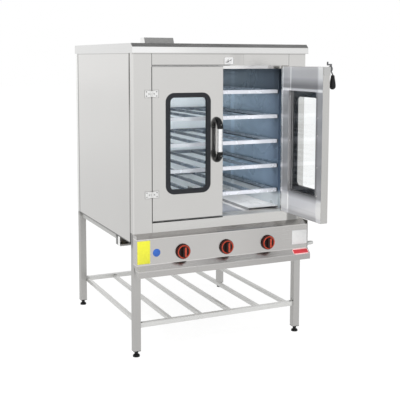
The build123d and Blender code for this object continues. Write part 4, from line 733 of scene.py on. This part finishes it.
class OVEN_OT_plates(bpy.types.Operator):
    """Adds the blank plates of the control panel: yellow, blue, white and red"""

    bl_idname = "oven.plates"
    bl_label = "Blank plates"

    def execute(self, context):
        s = finish_settings()
        rise = detail_settings().plate_thickness / MM
        steps = ((0.0, 0.0), (0.0, rise * 0.7), (0.4, rise))
        flat = {"across": (1, 0, 0), "up": (0, 0, 1)}

        def plate(name, colour, border, width, height, radius, x, z, rough=0.4, band=3.0):
            material = printed_plate(name + "_film", colour, rough, border, (width * MM, height * MM),
                                     (x * MM, PANEL_Y * MM, z * MM), band)
            rings = raised(width, height, radius, steps, (x, PANEL_Y, z), **flat)
            build(name, [rings], material, "cabinet")

        plate("yellow_plate", tuple(s.yellow_plate), linear("#DCD65A"), 71.5, 122.5, 2.0, -476.5, 574.0, band=2.5)
        plate("blue_disc", tuple(s.blue_disc), linear("#2F62B8"), 42.0, 42.0, 20.9, -405.0, 567.0, band=1.0)
        plate("white_plate", tuple(s.white_plate), linear("#BDBFC0"), 98.0, 81.0, 2.0, 461.0, 570.8, band=1.6)
        material = printed_plate("red_badge_film", tuple(s.red_plate), 0.35, linear("#F3C9C9"),
                                 (101 * MM, 26 * MM), tuple(c * MM for c in BADGE_MIDDLE), 4.2)
        rings = raised(101.0, 39.0, 16.0, steps, BADGE_MIDDLE, (1, 0, 0), LEDGE_SLOPE)
        build("red_badge", [rings], material, "cabinet")
        return {"FINISHED"}


class OVEN_OT_panel_screws(bpy.types.Operator):
    """Adds the screws of the back panel, the shelf rails and the flue collar"""

    bl_idname = "oven.panel_screws"
    bl_label = "Panel screws"
    # Adds the screws of the back panel and the bolts of the shelf rails

    def execute(self, context):
        head = dome_head(9.0, 1.0)
        steel = sheet_metal("panel_screw_steel", linear("#B8B8B6"), 0.3, 1.2, "x", tone=0.08)
        black = moulded("shelf_bolt_black", linear("#1B1B1C"), 0.5, 0.8)
        heights = np.linspace(*BACK_ENDS_Z, detail_settings().back_screws)
        places = [(x, z) for x in (-BACK_EDGE_X, BACK_EDGE_X) for z in heights]
        places += [(x, z) for z in BACK_ENDS_Z for x in np.linspace(-BACK_EDGE_X, BACK_EDGE_X, 6)[1:-1]]
        back = [spun(head, (x, BACK_Y, z), (0, 1, 0), 20) for x, z in places]
        build("back_panel_screws", back, steel, "cabinet")
        bolts = [spun(dome_head(7.0, 2.5), (x, y, 180.0), (0, 0, 1), 20)
                 for x in (-462.0, 449.0) for y in (-492.5, 493.5)]
        build("shelf_bolts", bolts, black, "cabinet")
        return {"FINISHED"}


class OVEN_OT_sheet_trim(bpy.types.Operator):
    """Adds the end gussets of the panel's ledge, the tab of the burner channel and a dark bar on the keeper that is
    painted shade under its tongue
    """

    bl_idname = "oven.sheet_trim"
    bl_label = "Sheet trim"

    def execute(self, context):
        steel = sheet_metal("trim_stainless_sheet", linear("#C4C3C1"), 0.25, 2.0, "y", tone=0.03)
        pale = sheet_metal("channel_tab_zinc", linear("#F6F6F5"), 0.3, 2.0, "z", tone=0.03, metallic=0.1)
        dark = sheet_metal("keeper_pin_steel", linear("#5A5B5D"), 0.3, 1.0, "x", tone=0.1)
        # The gusset fills the triangle between the ledge's slope and the level of the stile's foot
        outline = np.array([(-515.3, 661.8), (-566.0, 642.4), (-566.8, 643.4), (-566.8, 657.0), (-565.4, 660.6),
                            (-561.8, 662.0), (-516.0, 662.0)])
        for name, x in (("left", -515.0), ("right", 513.8)):
            rings = [np.column_stack((np.full(len(outline), x + depth), outline)) for depth in (0.0, 1.2)]
            build(f"panel_gusset_{name}", [np.array(rings)[::-1] * MM], steel, "cabinet", False)
        tab = raised(30.0, 50.0, 2.0, ((0.0, 0.0), (0.0, 0.7), (0.3, 1.0)), (-515.0, -289.0, 580.5), (0, -1, 0),
                     (0, 0, 1))
        build("channel_tab", [tab], pale, "cabinet")
        # A dark bar across the keeper, painted shade where the tongue stands off the plate
        path = np.linspace((17.0, -524.3, 1551.0), (46.0, -524.3, 1566.0), 8)
        build("keeper_pin", [round_bar(path, 1.6)], dark, "cabinet")
        return {"FINISHED"}


class OVEN_OT_inlet_thread(bpy.types.Operator):
    """Adds the threaded end of the gas inlet"""

    bl_idname = "oven.inlet_thread"
    bl_label = "Inlet thread"

    def execute(self, context):
        steel = sheet_metal("inlet_thread_steel", linear("#DADBDA"), 0.35, 1.2, "x", tone=0.08, metallic=0.8)
        along = np.arange(532.5, 567.6, 0.45)
        core = 10.5 - 2.0 * np.clip((along - 556.0) / 12.0, 0.0, 1.0)
        ridge = core + 0.6 * np.abs(((along / 1.8) % 1.0) * 2 - 1)
        path = np.column_stack((along, np.full(len(along), -537.0), np.full(len(along), 523.0)))
        build("inlet_thread", [round_bar(path, ridge, 28)], steel, "cabinet")
        return {"FINISHED"}


# ---------------------------------------------------------------- stage

# Camera fitted to the photograph's straight edges, in metres and radians
CAMERA_PLACE = (-1.8935, -4.3425, 1.5711)
CAMERA_YAW, CAMERA_PITCH, CAMERA_ROLL = 0.43082, -0.10192, 0.00217
SENSOR_WIDTH, CAMERA_SHIFT_Y, CLIP_END = 36.0, -0.15, 200.0
# Lamps: name, place, target, side, and the share of the cavity's power for the ones inside it
ROOM_TARGET = (0.0, 0.0, 0.9)
CAVITY_LAMPS = (("cavity_rail_lamp", (0.0, -0.462, 1.12), (0.0, 0.0, 1.12), 0.74, 0.2),
                ("cavity_front_lamp", (0.0, -0.375, 1.12), (0.0, 0.0, 1.12), 0.72, 0.85),
                ("cavity_top_lamp", (0.0, 0.0, 1.505), (0.0, 0.0, 0.7), 0.74, 0.6))
FLOOR_REACH = 40.0
# Glow of the floor as the camera sees it, and as mirrors see it near the oven and far off
FLOOR_SEEN, FLOOR_NEAR, FLOOR_FAR = 1.12, 0.84, 1.04
FLOOR_GLOW_SHARE = 0.8
# The room as mirrors see it: darker overhead, white card in front, grey behind, and a fall from left to right
CEILING = ((0.0, grey(1.0)), (0.30, grey(0.98)), (0.62, grey(0.44)), (0.84, grey(0.14)))
REAR_GREY = grey(0.62)
SWEEP_LEFT, SWEEP_RIGHT = 1.06, 0.96


def light_seen_directly(tree):
    """One where the ray comes from the camera, a glossy bounce or glass, zero for soft bounced light."""
    path = add(tree, "ShaderNodeLightPath")
    seen = add(tree, "ShaderNodeMath", {"operation": "MAXIMUM"}, in_0=path.outputs["Is Camera Ray"],
               in_1=path.outputs["Is Glossy Ray"])
    return add(tree, "ShaderNodeMath", {"operation": "MAXIMUM"}, in_0=seen.outputs[0],
               in_1=path.outputs["Is Transmission Ray"]).outputs[0]


class OVEN_OT_stage(bpy.types.Operator):
    """Adds the floor, the room's light, the lamps and the camera of the photograph"""

    bl_idname = "oven.stage"
    bl_label = "Stage"

    def execute(self, context):
        stage = context.scene.oven_stage
        scene = context.scene
        scene.view_settings.view_transform = "Standard"
        self.floor()
        self.room(scene, stage)
        lamp("key_lamp", (-2.4, -3.2, 4.6), ROOM_TARGET, 3.4, stage.key_power)
        lamp("fill_lamp", (4.2, -2.6, 2.6), ROOM_TARGET, 2.6, stage.fill_power)
        for name, place, target, side, share in CAVITY_LAMPS:
            lamp(name, place, target, side, stage.cavity_power * share)
        camera_data = bpy.data.cameras.new("oven_camera")
        camera_data.lens = stage.focal_length
        camera_data.sensor_width = SENSOR_WIDTH
        camera_data.sensor_fit = "HORIZONTAL"
        camera_data.shift_y = CAMERA_SHIFT_Y
        camera_data.clip_end = CLIP_END
        camera = bpy.data.objects.new("oven_camera", camera_data)
        turn = (Matrix.Rotation(-CAMERA_YAW, 4, "Z") @ Matrix.Rotation(math.pi / 2 + CAMERA_PITCH, 4, "X")
                @ Matrix.Rotation(CAMERA_ROLL, 4, "Z"))
        camera.matrix_world = Matrix.Translation(CAMERA_PLACE) @ turn
        scene.collection.objects.link(camera)
        scene.camera = camera
        return {"FINISHED"}

    def floor(self):
        """Pale matt floor: a flat square whose seen colour is lifted to white and keeps the shadow."""
        mesh = bpy.data.meshes.new("floor")
        corners = [(x * FLOOR_REACH, y * FLOOR_REACH, 0) for x, y in ((-1, -1), (1, -1), (1, 1), (-1, 1))]
        mesh.from_pydata(corners, [], [(0, 1, 2, 3)])
        floor = bpy.data.objects.new("floor", mesh)
        bpy.context.scene.collection.objects.link(floor)
        material, tree, output, place = new_material("studio_floor_paint")
        speck = pattern(tree, place, (1.0, 1.0, 1.0), 9.0, 2.0)
        tint = ramp(tree, speck, (0.3, linear("#F4F4F3")), (0.7, linear("#FAFAFA")))
        matt = add(tree, "ShaderNodeBsdfDiffuse", Color=tint)
        away = add(tree, "ShaderNodeVectorMath", {"operation": "LENGTH"}, in_0=place)
        mirrored = add(tree, "ShaderNodeMapRange", Value=away.outputs["Value"], From_Min=2.5, From_Max=12.0,
                       To_Min=FLOOR_NEAR, To_Max=FLOOR_FAR)
        path = add(tree, "ShaderNodeLightPath").outputs
        through = add(tree, "ShaderNodeMath", {"operation": "MAXIMUM"}, in_0=path["Is Camera Ray"],
                      in_1=path["Is Transmission Ray"])
        strength = add(tree, "ShaderNodeMix", {"data_type": "FLOAT"}, Factor=through.outputs[0],
                       in_2=mirrored.outputs["Result"], in_3=FLOOR_SEEN)
        glow = add(tree, "ShaderNodeEmission", Color=(1, 1, 1, 1), Strength=strength.outputs["Result"])
        share = add(tree, "ShaderNodeMath", {"operation": "MULTIPLY"}, in_0=light_seen_directly(tree),
                    in_1=FLOOR_GLOW_SHARE)
        mixed = add(tree, "ShaderNodeMixShader", Fac=share.outputs[0], in_1=matt.outputs[0],
                    in_2=glow.outputs[0])
        add_link(tree, mixed, output)
        mesh.materials.append(material)

    def room(self, scene, stage):
        """White room: full white where seen or mirrored low down, darker overhead in mirrors, dimmer on matt."""
        world = bpy.data.worlds.new("white_room")
        scene.world = world
        world.use_nodes = True
        tree = world.node_tree
        tree.nodes.clear()
        output = add(tree, "ShaderNodeOutputWorld")
        direction = add(tree, "ShaderNodeTexCoord").outputs["Generated"]
        parts = add(tree, "ShaderNodeSeparateXYZ", Vector=direction).outputs
        ceiling = ramp(tree, parts["Z"], *CEILING)
        run = add(tree, "ShaderNodeMath", {"operation": "DIVIDE"}, in_0=parts["Y"], in_1=parts["Z"])
        near = add(tree, "ShaderNodeMapRange", Value=run.outputs[0], From_Min=-0.02, From_Max=-0.12)
        far = add(tree, "ShaderNodeMapRange", Value=run.outputs[0], From_Min=-0.8, From_Max=-0.7)
        band = add(tree, "ShaderNodeMath", {"operation": "MULTIPLY"}, in_0=near.outputs["Result"],
                   in_1=far.outputs["Result"])
        above = add(tree, "ShaderNodeMapRange", Value=parts["Z"], From_Min=0.4, From_Max=0.6)
        card = add(tree, "ShaderNodeMath", {"operation": "MULTIPLY"}, in_0=band.outputs[0],
                   in_1=above.outputs["Result"])
        overhead = add(tree, "ShaderNodeMix", MIX_COLOUR, Factor=card.outputs[0], in_6=ceiling,
                       in_7=(1, 1, 1, 1)).outputs["Result"]
        behind = add(tree, "ShaderNodeMapRange", Value=run.outputs[0], From_Min=0.3, From_Max=0.55)
        rear = add(tree, "ShaderNodeMath", {"operation": "MULTIPLY"}, in_0=behind.outputs["Result"],
                   in_1=above.outputs["Result"])
        overhead = add(tree, "ShaderNodeMix", MIX_COLOUR, Factor=rear.outputs[0], in_6=overhead,
                       in_7=REAR_GREY).outputs["Result"]
        sweep = add(tree, "ShaderNodeMapRange", Value=parts["X"], From_Min=0.30, From_Max=0.42,
                    To_Min=SWEEP_LEFT, To_Max=SWEEP_RIGHT)
        swept = add(tree, "ShaderNodeVectorMath", {"operation": "SCALE"}, in_0=overhead,
                    Scale=sweep.outputs["Result"])
        path = add(tree, "ShaderNodeLightPath")
        seen = add(tree, "ShaderNodeMix", MIX_COLOUR, Factor=path.outputs["Is Camera Ray"],
                   in_6=swept.outputs["Vector"], in_7=(1, 1, 1, 1))
        direct = light_seen_directly(tree)
        soft = add(tree, "ShaderNodeBackground", Color=(1, 1, 1, 1), Strength=stage.room_light)
        bright = add(tree, "ShaderNodeBackground", Color=seen.outputs["Result"], Strength=1.0)
        mixed = add(tree, "ShaderNodeMixShader", Fac=direct, in_1=soft.outputs[0], in_2=bright.outputs[0])
        add_link(tree, mixed, output)


def lamp(name, place, target, size, power):
    """Square soft lamp aimed at a point, kept out of sight, mirror reflections and glass."""
    data = bpy.data.lights.new(name, "AREA")
    data.shape = "SQUARE"
    data.size = size
    data.energy = power
    item = bpy.data.objects.new(name, data)
    toward = Vector(target) - Vector(place)
    item.matrix_world = Matrix.Translation(place) @ toward.to_track_quat("-Z", "Y").to_matrix().to_4x4()
    item.visible_camera = False
    item.visible_glossy = False
    item.visible_transmission = False
    bpy.context.scene.collection.objects.link(item)


# ---------------------------------------------------------------- panel and run

OPERATORS = (OVEN_OT_finish_frame, OVEN_OT_knobs, OVEN_OT_hinge_screws, OVEN_OT_door_rivets,
             OVEN_OT_handle_screws, OVEN_OT_plates, OVEN_OT_panel_screws, OVEN_OT_sheet_trim, OVEN_OT_inlet_thread,
             OVEN_OT_stage)


class OVEN_PT_sidebar(bpy.types.Panel):
    """Lists the steps that dress the oven"""

    bl_idname = "OVEN_PT_sidebar"
    bl_label = "Pastry oven"
    bl_space_type = "VIEW_3D"
    bl_region_type = "UI"
    bl_category = "Oven"

    def draw(self, context):
        for operator in OPERATORS:
            self.layout.operator(operator.bl_idname)
        for settings in (context.scene.oven_finish, context.scene.oven_detail, context.scene.oven_stage):
            box = self.layout.box()
            for name in settings.__annotations__:
                box.prop(settings, name)


CLASSES = (OvenFinishSettings, OvenDetailSettings, OvenStageSettings) + OPERATORS + (OVEN_PT_sidebar,)
SETTINGS = (("oven_finish", OvenFinishSettings), ("oven_detail", OvenDetailSettings),
            ("oven_stage", OvenStageSettings))


def register():
    for item in CLASSES:
        bpy.utils.register_class(item)
    for name, group in SETTINGS:
        setattr(bpy.types.Scene, name, PointerProperty(type=group))


def unregister():
    for name, _ in SETTINGS:
        delattr(bpy.types.Scene, name)
    for item in reversed(CLASSES):
        bpy.utils.unregister_class(item)


def main():
    register()
    for operator in OPERATORS:
        group, name = operator.bl_idname.split(".")
        getattr(getattr(bpy.ops, group), name)()


if __name__ == "__main__":
    main()
